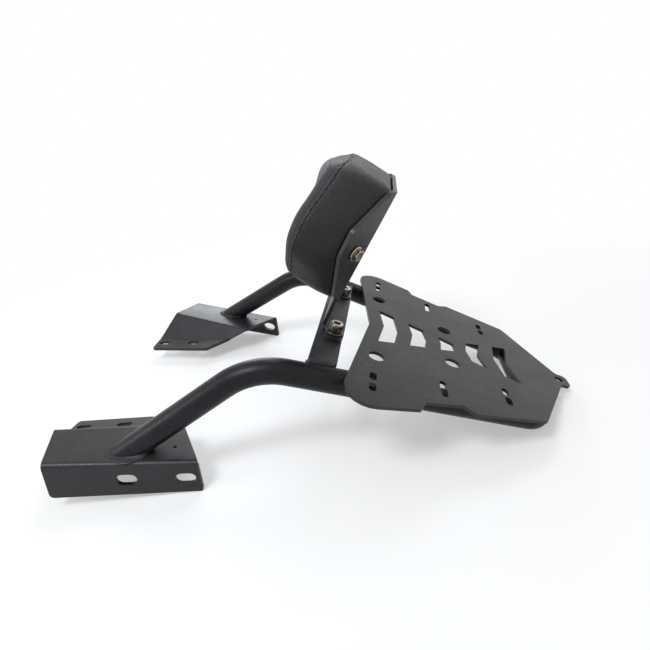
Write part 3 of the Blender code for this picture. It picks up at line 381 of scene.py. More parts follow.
def close_group(tree, outputs):
    """The group with its outputs, each fed by its own value."""
    for label in outputs:
        tree.interface.new_socket(label, in_out="OUTPUT", socket_type="NodeSocketFloat")
    end = tree.nodes.new("NodeGroupOutput")
    for label, value in outputs.items():
        tree.links.new(value, end.inputs[label])
    return tree


def coat_grain_group():
    """Powder coat: fine orange peel, specks where the powder gathered, and slow mottling."""
    tree, start, place = open_group("coat_grain", {"Peel Scale": 620.0, "Speck Scale": 1250.0})
    peel = scaled_noise(tree, place, start["Peel Scale"], 2.0, 0.5)
    speck = remap(tree, scaled_noise(tree, place, start["Speck Scale"], 2.0, 0.7), 0.5, 0.72)
    mottle = remap(tree, scaled_noise(tree, place, 38.0, 4.0), 0.35, 0.65)
    height = math_node(tree, "ADD", peel, math_node(tree, "MULTIPLY", speck, 0.35))
    return close_group(tree, {"Height": height, "Speck": speck, "Mottle": mottle})


def edge_wear_and_highlight_group():
    """Mask of convex edges, where handling thins and polishes the finish and where the powder coat
    takes a painted edge highlight.
    """
    tree, start, place = open_group("edge_wear_and_highlight", {"Amount": 0.5, "Break Scale": 160.0})
    point = add_node(tree, "ShaderNodeNewGeometry").outputs["Pointiness"]
    edge = remap(tree, point, 0.52, 0.62)
    broken = remap(tree, scaled_noise(tree, place, start["Break Scale"]), 0.4, 0.65, 0.2)
    mask = math_node(tree, "MULTIPLY", edge, broken, start["Amount"], clamp=True)
    return close_group(tree, {"Mask": mask})


def settled_dust_group():
    """Mask of fine dust that lies on faces turned upward."""
    tree, start, place = open_group("settled_dust", {"Amount": 0.3})
    facing = add_node(tree, "ShaderNodeSeparateXYZ")
    normal = add_node(tree, "ShaderNodeNewGeometry").outputs["Normal"]
    tree.links.new(normal, facing.inputs["Vector"])
    upward = remap(tree, facing.outputs["Z"], 0.55, 1.0)
    cloud = remap(tree, scaled_noise(tree, place, 24.0, 5.0), 0.38, 0.7)
    fine = remap(tree, scaled_noise(tree, place, 1400.0, 2.0, 0.7), 0.45, 0.75)
    mask = math_node(tree, "MULTIPLY", upward, cloud, fine, start["Amount"], clamp=True)
    return close_group(tree, {"Mask": mask})


def leather_grain_group():
    """Pebbled leather: cells with soft creases between them, fine pores, and a slow sheen."""
    tree, start, place = open_group("leather_grain", {"Pebble Scale": 560.0})
    drift = add_node(tree, "ShaderNodeTexNoise", inputs={"Scale": 420.0, "Detail": 2.0})
    tree.links.new(place, drift.inputs["Vector"])
    bent = add_node(tree, "ShaderNodeMixRGB", blend_type="LINEAR_LIGHT", inputs={"Fac": 0.0012})
    tree.links.new(place, bent.inputs["Color1"])
    tree.links.new(drift.outputs["Color"], bent.inputs["Color2"])
    cell = add_node(tree, "ShaderNodeTexVoronoi", feature="DISTANCE_TO_EDGE")
    tree.links.new(bent.outputs["Color"], cell.inputs["Vector"])
    tree.links.new(start["Pebble Scale"], cell.inputs["Scale"])
    crease = remap(tree, cell.outputs["Distance"], 0.0, 0.16, 1.0, 0.0)
    pebble = remap(tree, cell.outputs["Distance"], 0.0, 0.4)
    pores = scaled_noise(tree, place, 2400.0, 2.0, 0.6)
    height = math_node(tree, "ADD", pebble, math_node(tree, "MULTIPLY", pores, 0.35))
    patch = remap(tree, scaled_noise(tree, place, 30.0), 0.35, 0.65)
    return close_group(tree, {"Height": height, "Crease": crease, "Sheen Patch": patch})


def plating_group():
    """Plating: cloudy tone and fine scratches that run level."""
    tree, start, place = open_group("plating", {"Cloud Scale": 220.0})
    stretch = add_node(tree, "ShaderNodeMapping", inputs={"Scale": (1.0, 1.0, 9.0)})
    tree.links.new(place, stretch.inputs["Vector"])
    cloud = remap(tree, scaled_noise(tree, place, start["Cloud Scale"], 4.0), 0.35, 0.7)
    scratch = remap(tree, scaled_noise(tree, stretch.outputs["Vector"], 900.0), 0.52, 0.7)
    height = math_node(tree, "ADD", cloud, math_node(tree, "MULTIPLY", scratch, 0.6))
    return close_group(tree, {"Height": height, "Cloud": cloud, "Scratch": scratch})


# Materials


def start_material(name, roughness, metallic, specular):
    """A material whose Principled shader holds its plain values on its own sockets."""
    material = bpy.data.materials.new(name)
    material.use_nodes = True
    tree = material.node_tree
    shader = tree.nodes["Principled BSDF"]
    shader.inputs["Roughness"].default_value = roughness
    shader.inputs["Metallic"].default_value = metallic
    shader.inputs["Specular IOR Level"].default_value = specular
    return material, tree, shader


def place_group(tree, group, **values):
    """The outputs of a shader group placed in a material with its own values."""
    node = tree.nodes.new("ShaderNodeGroup")
    node.node_tree = group
    for label, value in values.items():
        node.inputs[label.replace("_", " ")].default_value = value
    return node.outputs


def mix_colours(tree, factor, first, second):
    """Two colours, each plain or from a socket, mixed by a mask."""
    node = add_node(tree, "ShaderNodeMix", data_type="RGBA")
    tree.links.new(factor, node.inputs["Factor"])
    colours = [socket for socket in node.inputs if socket.type == "RGBA"]
    for value, socket in zip((first, second), colours):
        feed(tree, (*value, 1.0) if isinstance(value, tuple) else value, socket)
    return [socket for socket in node.outputs if socket.type == "RGBA"][0]


def finish_shader(tree, shader, colour, height, distance, strength, roughness=None):
    """Colour, bump and a varying roughness on the material's shader."""
    tree.links.new(colour, shader.inputs["Base Color"])
    if roughness is not None:
        tree.links.new(roughness, shader.inputs["Roughness"])
    bump = add_node(tree, "ShaderNodeBump", inputs={"Distance": distance, "Strength": strength})
    tree.links.new(height, bump.inputs["Height"])
    tree.links.new(bump.outputs["Normal"], shader.inputs["Normal"])


def powder_coat(groups, name, dark, light, smooth, rough, specular, peel):
    """Satin black powder coat, dusty on top, and lighter at its convex edges as edge wear and a
    painted edge highlight.
    """
    material, tree, shader = start_material(name, smooth, 0.0, specular)
    grain = place_group(tree, groups["coat_grain"])
    wear = place_group(tree, groups["edge_wear_and_highlight"], Amount=COAT_EDGE_WEAR_AND_HIGHLIGHT)
    dust = place_group(tree, groups["settled_dust"], Amount=COAT_DUST)
    colour = mix_colours(tree, grain["Mottle"], dark, light)
    # Lighter convex edges: edge wear and a painted edge highlight
    colour = mix_colours(tree, wear["Mask"], colour, COAT_EDGE_WEAR_AND_HIGHLIGHT_TONE)
    colour = mix_colours(tree, dust["Mask"], colour, COAT_DUST_TONE)
    tone = weighted_sum(tree, smooth, (grain["Mottle"], rough - smooth), (grain["Speck"], 0.08))
    finish_shader(tree, shader, colour, grain["Height"], peel, 0.6, tone)
    return material


def leather(groups, name):
    """Black leather: pebbled on the gusset, pulled smooth and matt over the crowned front, where
    faces turned to the front and up also get painted light as a lighter tone.
    """
    material, tree, shader = start_material(name, 0.36, 0.0, 0.34)
    grain = place_group(tree, groups["leather_grain"])
    dust = place_group(tree, groups["settled_dust"], Amount=0.12)
    stretch = facing_mask(tree, STRETCHED_FACING, 0.3, 0.6)
    colour = mix_colours(tree, grain["Crease"], PEBBLE_TONE, CREASE_TONE)
    colour = mix_colours(tree, dust["Mask"], colour, LEATHER_DUST_TONE)
    # Painted light: faces turned to the front and up are mixed to a lighter tone
    colour = mix_colours(tree, stretch, colour, CROWN_PAINTED_LIGHT_TONE)
    tone = weighted_sum(
        tree, 0.34, (grain["Sheen Patch"], 0.08), (grain["Crease"], 0.22),
        (stretch, STRETCHED_MATT))
    kept = math_node(tree, "SUBTRACT", 1.0, math_node(tree, "MULTIPLY", stretch, STRETCHED_FLAT))
    height = math_node(tree, "MULTIPLY", grain["Height"], kept)
    finish_shader(tree, shader, colour, height, 0.00025, 0.6, tone)
    return material


def dull_black(groups, name, roughness, scale, mask, dark, light, strength):
    """A dull black with a fine grain, for the waxed thread and the board inside the cushion."""
    material, tree, shader = start_material(name, roughness, 0.0, 0.4)
    grain = place_group(tree, groups["coat_grain"], Peel_Scale=scale)
    colour = mix_colours(tree, grain[mask], dark, light)
    finish_shader(tree, shader, colour, grain["Height"], 0.0001, strength)
    return material


def plated_steel(groups, name, bright, dull, painted_shade_tone):
    """Plated steel with cloudy tone, fine scratches and polished edges, and painted shade on flanks
    that don't face up.
    """
    material, tree, shader = start_material(name, 0.3, 1.0, 0.5)
    plating = place_group(tree, groups["plating"])
    wear = place_group(tree, groups["edge_wear_and_highlight"], Amount=0.8)
    colour = mix_colours(tree, plating["Cloud"], bright, dull)
    if painted_shade_tone:
        # Painted shade: faces that don't face up are mixed to the darker flank tone
        rack_up = (math.sin(RACK_TILT), 0, math.cos(RACK_TILT))
        colour = mix_colours(tree, facing_mask(tree, rack_up, 0.8, 0.97), painted_shade_tone, colour)
    colour = mix_colours(tree, wear["Mask"], colour, bright)
    tone = weighted_sum(tree, 0.22, (plating["Cloud"], 0.16), (plating["Scratch"], 0.08))
    finish_shader(tree, shader, colour, plating["Height"], 0.00002, 0.5, tone)
    return material


def make_materials():
    """Every finish of the rack, by name."""
    groups = {
        "coat_grain": coat_grain_group(),
        "edge_wear_and_highlight": edge_wear_and_highlight_group(),
        "settled_dust": settled_dust_group(),
        "leather_grain": leather_grain_group(),
        "plating": plating_group(),
    }
    finishes = {key: powder_coat(groups, *values) for key, values in POWDER_COATS.items()}
    finishes["leather"] = leather(groups, "cushion_leather")
    finishes.update({key: dull_black(groups, *values) for key, values in DULL_BLACKS.items()})
    finishes.update({key: plated_steel(groups, *values) for key, values in PLATINGS.items()})
    return finishes


# Meshes and pieces


def add_object(name, content):
    """A mesh, lamp or camera in the scene."""
    item = bpy.data.objects.new(name, content)
    bpy.context.scene.collection.objects.link(item)
    return item


def add_piece(name, mesh, material, slot_name, *nodes):
    """A piece of the rack that rides on it and stands for the CAD nodes named."""
    piece = add_object(name, mesh)
    mesh.materials.clear()
    mesh.materials.append(material)
    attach(piece, "root")
    if nodes:
        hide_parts(*nodes)
    return piece


def smooth_mesh(name, shape):
    """A smoothly shaded mesh of a shape that is done with."""
    mesh = bpy.data.meshes.new(name)
    shape.to_mesh(mesh)
    shape.free()
    mesh.shade_smooth()
    return mesh


def join_loops(shape, near, far):
    """Faces between two loops of vertices."""
    for index in range(len(near)):
        after = (index + 1) % len(near)
        shape.faces.new((near[index], near[after], far[after], far[index]))


def lofted_mesh(name, rings, closed_loop=False):
    """A closed skin over rings of points, capped at both ends or joined end to end."""
    shape = bmesh.new()
    loops = [[shape.verts.new(place) for place in places] for places in rings]
    for near, far in zip(loops, loops[1:]):
        join_loops(shape, near, far)
    if closed_loop:
        join_loops(shape, loops[-1], loops[0])
    else:
        for loop in (loops[0], loops[-1]):
            middle = shape.verts.new(sum((vert.co for vert in loop), Vector()) / len(loop))
            for index, vert in enumerate(loop):
                shape.faces.new((vert, loop[(index + 1) % len(loop)], middle))
    bmesh.ops.recalc_face_normals(shape, faces=shape.faces)
    return smooth_mesh(name, shape)


def placed(rings, place):
    """Rings of points moved to a place."""
    return [[place @ point for point in ring] for ring in rings]


def even_points(points, closed, spacing=None, count=None):
    """Points spread evenly along a route, by their spacing or by their number."""
    route = points + points[:1] if closed else points
    lengths = [0.0]
    for start, end in zip(route, route[1:]):
        lengths.append(lengths[-1] + (end - start).length)
    if count is None:
        count = max(3, round(lengths[-1] / spacing))
    result = []
    index = 0
    for step in range(count if closed else count + 1):
        target = lengths[-1] * step / count
        while lengths[index + 1] < target - 1e-12:
            index += 1
        share = (target - lengths[index]) / (lengths[index + 1] - lengths[index])
        result.append(route[index].lerp(route[index + 1], share))
    return result


def rounded_sheet(node, edge_radius, material):
    """A sheet's CAD mesh with its cut edges rounded as coated steel is."""
    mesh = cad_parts[node].data.copy()
    shape = bmesh.new()
    shape.from_mesh(mesh)
    bmesh.ops.remove_doubles(shape, verts=shape.verts, dist=SHEET_MERGE)
    bmesh.ops.dissolve_limit(shape, angle_limit=SHEET_FLAT, verts=shape.verts, edges=shape.edges)
    shape.to_mesh(mesh)
    shape.free()
    mesh.shade_smooth()
    carrier = add_object(node + "_carrier", mesh)
    edge = carrier.modifiers.new("rounded edges", "BEVEL")
    edge.width = edge_radius
    edge.segments = 3
    edge.limit_method = "ANGLE"
    edge.angle_limit = SHEET_CORNER
    normals = carrier.modifiers.new("flat faces stay flat", "WEIGHTED_NORMAL")
    normals.weight = 80
    graph = bpy.context.evaluated_depsgraph_get()
    result = bpy.data.meshes.new_from_object(carrier.evaluated_get(graph))
    bpy.data.objects.remove(carrier, do_unlink=True)
    add_piece(node + "_coated", result, material, "black_powder_coat", node)


# Fasteners


def turned_rings(profile, count, place):
    """Rings of a turned shape: each has a radius and a height, given plain or by angle."""
    rings = []
    for radius, height in profile:
        ring = []
        for step in range(count):
            angle = FULL_TURN * step / count
            reach = radius(angle) if callable(radius) else radius
            level = height(angle) if callable(height) else height
            ring.append(place @ Vector((reach * math.cos(angle), reach * math.sin(angle), level)))
        rings.append(ring)
    return rings


def turned_piece(name, profile, count, place, sharp, material, closed_loop=False):
    """A machined piece from its profile, its edges crisp where they turn more than an angle."""
    mesh = lofted_mesh(name, turned_rings(profile, count, place), closed_loop)
    mesh.set_sharp_from_angle(angle=math.radians(sharp))
    add_piece(name + "_machined", mesh, material, "zinc_plated_steel", name)


def hexagon(flat):
    """Reach of a hexagon by angle, from its half width across flats."""
    def reach(angle):
        off = (angle + math.pi / 6) % (math.pi / 3) - math.pi / 6
        return flat / math.cos(off)
    return reach


def hex_chamfer(flat, base, slope):
    """Height of a hexagon's chamfered corners by angle, rising or falling from a base."""
    reach = hexagon(flat)
    return lambda angle: base + (reach(angle) - flat * HEX_CHAMFER_START) * slope


def thread_profile(top, bottom, radius):
    """Rings of a helical thread that runs down a shank."""
    rings = []
    steps = math.ceil((top - bottom) / (THREAD_PITCH / THREAD_RINGS))

    def crest(level):
        def reach(angle):
            phase = (level / THREAD_PITCH + angle / FULL_TURN) % 1
            return radius - THREAD_DEPTH * abs(2 * phase - 1)
        return reach

    for step in range(steps + 1):
        level = top + (bottom - top) * step / steps
        rings.append((crest(level), level))
    return rings


def screw_shank(length):
    """Rings of a shank: a plain neck, the thread, and a chamfered end."""
    neck = SCREW_NECK * length
    rings = [(SCREW_RADIUS + 0.0003, 0.0), (SCREW_RADIUS, -0.0002), (SCREW_RADIUS, -neck)]
    rings += thread_profile(-neck - 0.0003, -length + 0.0012, SCREW_RADIUS - 0.00005)
    rings += [(SCREW_RADIUS - 0.0009, -length + 0.0004), (SCREW_RADIUS - 0.0013, -length)]
    return rings


def socket_screw(name, place, length, material):
    """A socket cap screw: knurled head with a hexagon socket, and a threaded shank."""
    def knurl(angle):
        return HEAD_RADIUS - KNURL_DEPTH * abs(math.sin(angle * KNURL_COUNT))

    reach = hexagon(SOCKET_FLAT)
    top = HEAD_HEIGHT
    profile = [
        (lambda angle: 0.35 * reach(angle), top - SOCKET_DEPTH - 0.0005),
        (reach, top - SOCKET_DEPTH),
        (reach, top - 0.0006),
        (lambda angle: reach(angle) + 0.00015, top - 0.0002),
        (SOCKET_FLAT * 1.25, top),
        (HEAD_RADIUS - 0.0013, top),
        (HEAD_RADIUS - 0.0006, top - 0.00025),
        (HEAD_RADIUS - 0.00025, top - 0.0008),
        (knurl, top - 0.0012),
        (knurl, 0.0011),
        (HEAD_RADIUS - 0.00015, 0.0008),
        (HEAD_RADIUS - 0.0004, 0.00005),
    ]
    turned_piece(name, profile + screw_shank(length), 120, place, 48, material)


def hex_bolt(name, place, length, material):
    """A hexagon bolt with a chamfered head and a threaded shank."""
    flat = PAD_HEX_FLAT
    reach = hexagon(flat)
    top = PAD_HEAD_HEIGHT
    profile = [
        (flat * 0.55, top - 0.00025),
        (flat * 0.78, top - 0.0001),
        (flat * 0.9, top),
        (flat * HEX_CHAMFER_START, top - 0.00008),
        (reach, hex_chamfer(flat, top, -HEX_CHAMFER_SLOPE)),
        (reach, 0.0006),
        (lambda angle: reach(angle) - 0.0002, 0.0002),
        (flat * 0.97, 0.0001),
    ]
    turned_piece(name, profile + screw_shank(length), 96, place, 38, material)


def hex_nut(name, place, material):
    """A hexagon nut, chamfered on both faces, with a countersunk threaded bore."""
    flat = HEX_FLAT
    reach = hexagon(flat)
    bore = WASHER_BORE
    profile = [
        (bore + 0.0005, 0.0),
        (flat * 0.9, 0.0),
        (flat * HEX_CHAMFER_START, 0.00008),
        (reach, hex_chamfer(flat, 0, HEX_CHAMFER_SLOPE)),
        (reach, hex_chamfer(flat, NUT_HEIGHT, -HEX_CHAMFER_SLOPE)),
        (flat * HEX_CHAMFER_START, NUT_HEIGHT - 0.00008),
        (flat * 0.9, NUT_HEIGHT),
        (bore + 0.0005, NUT_HEIGHT),
        (bore, NUT_HEIGHT - 0.0005),
        (bore, 0.0005),
    ]
    turned_piece(name, profile, 96, place, 38, material, closed_loop=True)


def washer(name, place, material, edge=WASHER_RADIUS):
    """A flat washer with a rolled outer edge and a punched bore."""
    lower = [
        (WASHER_BORE, 0.0002), (WASHER_BORE + 0.0002, 0.0), (edge - 0.0005, 0.0),
        (edge - 0.00012, 0.00015), (edge, 0.0005)]
    upper = [(radius, WASHER_THICKNESS - height) for radius, height in reversed(lower)]
    turned_piece(name, lower + upper, 72, place, 60, material, closed_loop=True)


def fit_fasteners(zinc, dull, brass):
    """Screws, nuts and washers of the backrest's foot and of its wings."""
    def lifted(seat, height):
        return seat @ Matrix.Translation((0, 0, height))

    for side, sign in SIDES.items():
        x, y = FOOT_SCREW
        seat = rack_axes() @ Matrix.Translation((x, sign * y, 0))
        socket_screw("foot_screw_" + side, lifted(seat, FOOT_SCREW_LIFT), FOOT_SCREW_LENGTH, zinc)
        washer("foot_washer_" + side, lifted(seat, FOOT_WASHER_LIFT), dull)
        washer("under_washer_" + side, lifted(seat, UNDER_WASHER_LIFT), zinc)
        hex_nut("foot_nut_" + side, lifted(seat, FOOT_NUT_LIFT), zinc)
        x, y, z = PAD_BOLT
        turn = Euler((0, QUARTER_TURN, sign * WING_ANGLE)).to_matrix().to_4x4()
        seat = backrest_axes() @ Matrix.Translation((x, sign * y, z)) @ turn
        washer("pad_washer_" + side, lifted(seat, PAD_WASHER_LIFT), brass, PAD_WASHER_RADIUS)
        hex_bolt("pad_bolt_" + side, lifted(seat, PAD_BOLT_LIFT), PAD_BOLT_LENGTH, brass)


# Tube and welds


def rail_direction():
    """The right rail's direction to the rear."""
    run = Vector((RAIL_REAR[0] - RAIL_FRONT[0], RAIL_REAR[1] - RAIL_FRONT[1], 0))
    return run.normalized()


def rail_point(x):
    """A point on the right rail's axis."""
    run = rail_direction()
    return Vector((*RAIL_FRONT, RAIL_Z)) + run * (x - RAIL_FRONT[0]) / run.x


def right_foot():
    """Upward and outboard on the right bracket's top, the foot on it, and the leg's direction."""
    turn = Euler([math.radians(angle) for angle in BRACKET_TURN]).to_matrix().to_4x4()
    axes = Matrix.Translation(BRACKET_PLACE) @ turn
    up = axes.to_3x3() @ Vector((0, 0, 1))
    outboard = axes.to_3x3() @ Vector((0, 1, 0))
    foot = axes @ Vector((FOOT_ALONG, -FOOT_INBOARD, 0))
    leg = (foot - Vector((*RAIL_FRONT, RAIL_Z))).normalized()
    return up, outboard, foot, leg


def bend_arc(before, corner, after, radius):
    """The tube's axis round one bend, in fine steps."""
    back = (before - corner).normalized()
    ahead = (after - corner).normalized()
    turn = math.pi - back.angle(ahead)
    centre = corner + (back + ahead).normalized() * radius / math.cos(turn / 2)
    start = corner + back * radius * math.tan(turn / 2) - centre
    axis = back.cross(ahead).normalized()
    steps = math.ceil(turn / BEND_STEP)
    turns = [Matrix.Rotation(-turn * step / steps, 3, axis) for step in range(steps + 1)]
    return [centre + swing @ start for swing in turns]


def smooth_hoop(material):
    """The bent tube in fine rings, each leg coped to the top of its bracket."""
    up, _, foot, leg = right_foot()
    front = Vector((*RAIL_FRONT, RAIL_Z))
    corner = Vector((*RAIL_REAR, RAIL_Z))
    middle = Vector((RAIL_REAR[0], 0, RAIL_Z))
    route = bend_arc(middle, corner, front, CORNER_BEND_RADIUS)
    route += bend_arc(corner, front, foot, LEG_BEND_RADIUS)
    # The first spot only gives the tube's direction at its middle
    spots = [middle - Vector((0, 0.01, 0)), middle] + route + [foot]
    last = len(spots) - 1
    side = Vector((0, 0, 1))
    right_rings = []
    for index in range(1, len(spots)):
        before = (spots[index] - spots[index - 1]).normalized()
        after = leg if index == last else (spots[index + 1] - spots[index]).normalized()
        along = (before + after).normalized()
        side = (side - along * side.dot(along)).normalized()
        other = along.cross(side)
        ring = []
        for step in range(TUBE_POINTS):
            angle = FULL_TURN * step / TUBE_POINTS
            point = spots[index] + (side * math.cos(angle) + other * math.sin(angle)) * TUBE_RADIUS
            if index == last:
                point -= leg * ((point - foot).dot(up) - SEAT_GAP) / leg.dot(up)
            ring.append(point)
        right_rings.append(ring)
    left_rings = [
        [Vector((point.x, -point.y, point.z)) for point in ring] for ring in right_rings[:0:-1]]
    mesh = lofted_mesh("rail_hoop", placed(left_rings + right_rings, rack_axes()))
    mesh.set_sharp_from_angle(angle=math.radians(TUBE_SHARP))
    add_piece("rail_hoop_bent", mesh, material, "black_powder_coat", "rail_hoop")


def foot_fillet(node, mirror, material):
    """The fillet weld between a leg and the top of its bracket, with ripples along it."""
    up, outboard, foot, leg = right_foot()
    first = leg.cross(up).normalized()
    second = leg.cross(first)
    heel = (up * leg.dot(up) - leg).normalized()
    travel = 0.0
    before = None
    rings = []
    for step in range(FILLET_STEPS):
        angle = FULL_TURN * step / FILLET_STEPS
        spoke = first * math.cos(angle) + second * math.sin(angle)
        wall = foot + spoke * TUBE_RADIUS
        root = wall - leg * (wall - foot).dot(up) / leg.dot(up)
        if before is not None:
            travel += (root - before).length
        before = root
        aside = (spoke - up * spoke.dot(up)).normalized()
        drift = Vector((math.cos(angle), math.sin(angle), 0.3)) * FILLET_UNEVEN_SCALE
        uneven = 1 + FILLET_UNEVEN * noise.noise(drift)
        wave = abs(math.sin(travel / RIPPLE_PITCH * math.pi)) ** 0.7
        height = FILLET_HEIGHT * (1 + FILLET_HEEL_GROWTH * aside.dot(heel))
        rise = root - leg * height * uneven / abs(leg.dot(up))
        outer = max(0.0, aside.dot(outboard)) ** FILLET_OUTER_POWER
        toe = root + aside * (FILLET_WIDTH + FILLET_OUTER_WIDTH * outer) * uneven
        ring = [root - aside * FILLET_SINK + up * FILLET_TUCK, rise - aside * FILLET_TUCK]
        for index in range(FILLET_FACE_POINTS):
            share = index / (FILLET_FACE_POINTS - 1)
            low = rise.lerp(root, share * FILLET_SAG)
            high = root.lerp(toe, 1 - FILLET_SAG + share * FILLET_SAG)
            lift = (FILLET_LIFT + FILLET_RIPPLE * wave) * math.sin(share * math.pi)
            ring.append(low.lerp(high, share) + (aside + up).normalized() * lift)
        ring.append(toe - up * FILLET_TOE_SINK)
        rings.append(ring)
    mesh = lofted_mesh(node, placed(rings, mirror), closed_loop=True)
    add_piece(node + "_fillet", mesh, material, "black_powder_coat", node)


def weld_bead(node, points, outward, radius, material):
    """A weld bead with crescent ripples, laid along a route; outward is its crown's side."""
    spacing = RIPPLE_PITCH / RIPPLE_RINGS
    route = even_points(points, False, spacing=spacing)
    last = len(route) - 1
    rings = []
    for index, place in enumerate(route):
        along = (route[min(index + 1, last)] - route[max(index - 1, 0)]).normalized()
        crown = (outward - along * outward.dot(along)).normalized()
        aside = along.cross(crown)
        from_end = min(index, last - index) * spacing
        end_fade = min(1.0, math.sqrt(max(BEAD_END_FADE, from_end / radius)))
        ring = []
        for side in range(BEAD_SIDES):
            angle = FULL_TURN * side / BEAD_SIDES
            lag = RIPPLE_PITCH * RIPPLE_LAG * (1 - math.cos(angle))
            wave = ((index * spacing + lag) / RIPPLE_PITCH) % 1
            swell = 1 - RIPPLE_SWELL + RIPPLE_SWELL * math.sin(wave * math.pi) ** 0.6
            uneven = 1 + BEAD_UNEVEN * noise.noise(place * BEAD_UNEVEN_SCALE)
            reach = min(radius, radius * swell * uneven) * end_fade
            ring.append(place + (crown * math.cos(angle) + aside * math.sin(angle)) * reach)
        rings.append(ring)
    mesh = lofted_mesh(node, rings)
    add_piece(node + "_rippled", mesh, material, "black_powder_coat", node)


def bar_weld_route():
    """The bead's route where the right end of the bar meets the rail's crest, sunk into both."""
    run = rail_direction()
    inward = Vector((run.y, -run.x, 0))
    out = BAR_END_INSET - SEAT_GAP - BAR_BEAD + BAR_BEAD_INBOARD
    reach = TUBE_RADIUS + BAR_BEAD - BAR_BEAD_SINK
    centre = rail_point(BAR_X) + inward * out
    centre.z = RAIL_Z + math.sqrt(reach ** 2 - out ** 2)
    return [centre - run * (BAR_WIDTH / 2), centre + run * (BAR_WIDTH / 2)]


def plate_weld_route(x):
    """A stitch's route in the corner between the plate and the outside of the right rail."""
    run = rail_direction()
    outward = Vector((-run.y, run.x, 0))
    drop = TUBE_RADIUS - PLATE_BEAD
    reach = TUBE_RADIUS + SEAT_GAP + PLATE_BEAD
    start = rail_point(x) + outward * math.sqrt(reach ** 2 - drop ** 2)
    start.z = RAIL_Z + drop
    return [start, start + run * PLATE_BEAD_LENGTH]


def lay_beads(material):
    """Every weld bead, on both sides of the rack."""
    for side, sign in SIDES.items():
        place = rack_axes() @ Matrix.Scale(sign, 4, (0, 1, 0))
        foot_fillet("foot_weld_" + side, place, material)
        up = place.to_3x3() @ Vector((0, 0, 1))
        out = place.to_3x3() @ Vector((0, 1, -1))
        points = [place @ point for point in bar_weld_route()]
        weld_bead("bar_weld_" + side, points, up, BAR_BEAD, material)
        for end, x in PLATE_BEAD_STARTS.items():
            points = [place @ point for point in plate_weld_route(x)]
            weld_bead("plate_weld_" + end + "_" + side, points, out, PLATE_BEAD, material)


# Cushion; a place on it is (side, height) in the backrest's axes, and its depth is to the front


def rounded_outline(corners, radius):
    """A closed outline (side, height) through mirrored corners, rounded with fine arcs."""
    right = [Vector((half, height)) for height, half in corners]
    ring = right + [Vector((-point.x, point.y)) for point in reversed(right)]
    outline = []
    for index, corner in enumerate(ring):
        before = ring[index - 1] - corner
        after = ring[(index + 1) % len(ring)] - corner
        turn = math.pi - before.angle(after)
        lead = min(radius * math.tan(turn / 2), 0.49 * before.length, 0.49 * after.length)
        start = corner + before.normalized() * lead
        end = corner + after.normalized() * lead
        for step in range(CORNER_STEPS + 1):
            share = step / CORNER_STEPS
            first = start.lerp(corner, share)
            outline.append(first.lerp(corner.lerp(end, share), share))
    return even_points(outline, True, count=CUSHION_POINTS)


def drawn_in(place, inset):
    """A place moved toward the cushion's middle."""
    return place - (place - MIDDLE).normalized() * inset


def cushion_point(place, depth):
    """The point at a place and a depth."""
    return Vector((-depth, place.x, place.y))


def back_depth(place):
    """Depth of the cushion's back, along the folded wings."""
    return BACK_DEPTH + max(abs(place.x) - WING_FOLD, 0) * math.tan(WING_ANGLE)


def seam_depth(place):
    """Depth of the front seam."""
    wrap = SEAM_WRAP * (place.x / SIDE_HALF) ** 2
    return SEAM_DEPTH + wrap + SEAM_LEAN * (place.y - SEAM_MIDDLE)


def crown_depth(place, share):
    """Depth of the padded front at a share of the way out to the seam."""
    aside = min(abs(place.x) / CROWN_SIDE_RUN, 1)
    below = min((SEAM_CORNERS[-1][0] - place.y) / CROWN_TOP_ROLL, 1)
    crown = CROWN - CROWN_SIDE_DROP * math.sin(aside * QUARTER_TURN)
    side_run, height_run = TOP_SWELL_RUN
    middle = math.cos(min(abs(place.x) / side_run, 1) * QUARTER_TURN) ** TOP_SWELL_POWER
    crown += TOP_SWELL * middle * math.exp(-((place.y - TOP_SWELL_HEIGHT) / height_run) ** 2)
    fullness = 1 - (1 - EDGE_ROLL) * share ** CROWN_POWER - EDGE_ROLL * share ** EDGE_POWER
    crown *= math.sin(max(below, 0) * QUARTER_TURN) * fullness
    return seam_depth(place) + crown


def soft_wrinkle(place, scale, height):
    """Slow unevenness of the leather over its foam."""
    return height * noise.noise(Vector((place.x * scale, place.y * scale, scale * 0.013)))


def tuck_wave(index):
    """The rhythm of the tucks round the cushion."""
    return math.sin(index * FULL_TURN / CUSHION_POINTS * TUCK_COUNT)


def back_rings(back):
    """The flat back, out to its rolled edge."""
    rings = []
    for share in BACK_SHARES:
        flat = [MIDDLE + (place - MIDDLE) * share for place in back]
        rings.append([cushion_point(place, back_depth(place)) for place in flat])
    for step in range(1, BACK_ROLL_STEPS + 1):
        swing = step / BACK_ROLL_STEPS * QUARTER_TURN
        inset = BACK_ROLL * (1 - math.sin(swing))
        rise = BACK_ROLL * (1 - math.cos(swing))
        rings.append([
            cushion_point(drawn_in(place, inset), back_depth(place) + rise) for place in back])
    return rings


def gusset_rings(back, seam):
    """The side of the cushion: it bulges and ripples, and puckers near the seam."""
    rings = []
    for step in range(1, GUSSET_RINGS):
        share = step / GUSSET_RINGS
        hump = math.sin(share * math.pi)
        bulge = GUSSET_BULGE * hump ** 0.8
        pinch = max(0.0, (share - PUCKER_START) / PUCKER_RUN) ** 2
        ring = []
        for index, (low, high) in enumerate(zip(back, seam)):
            pucker = PUCKER * pinch * tuck_wave(index)
            travel = index * FULL_TURN / CUSHION_POINTS
            ripple = soft_wrinkle(Vector((travel * 0.09, share * 0.03)), *GUSSET_RIPPLE) * hump
            depth = back_depth(low) + BACK_ROLL
            depth += (seam_depth(high) - depth) * share
            swollen = drawn_in(low.lerp(high, share), -(bulge + pucker + ripple))
            ring.append(cushion_point(swollen, depth))
        rings.append(ring)
    return rings


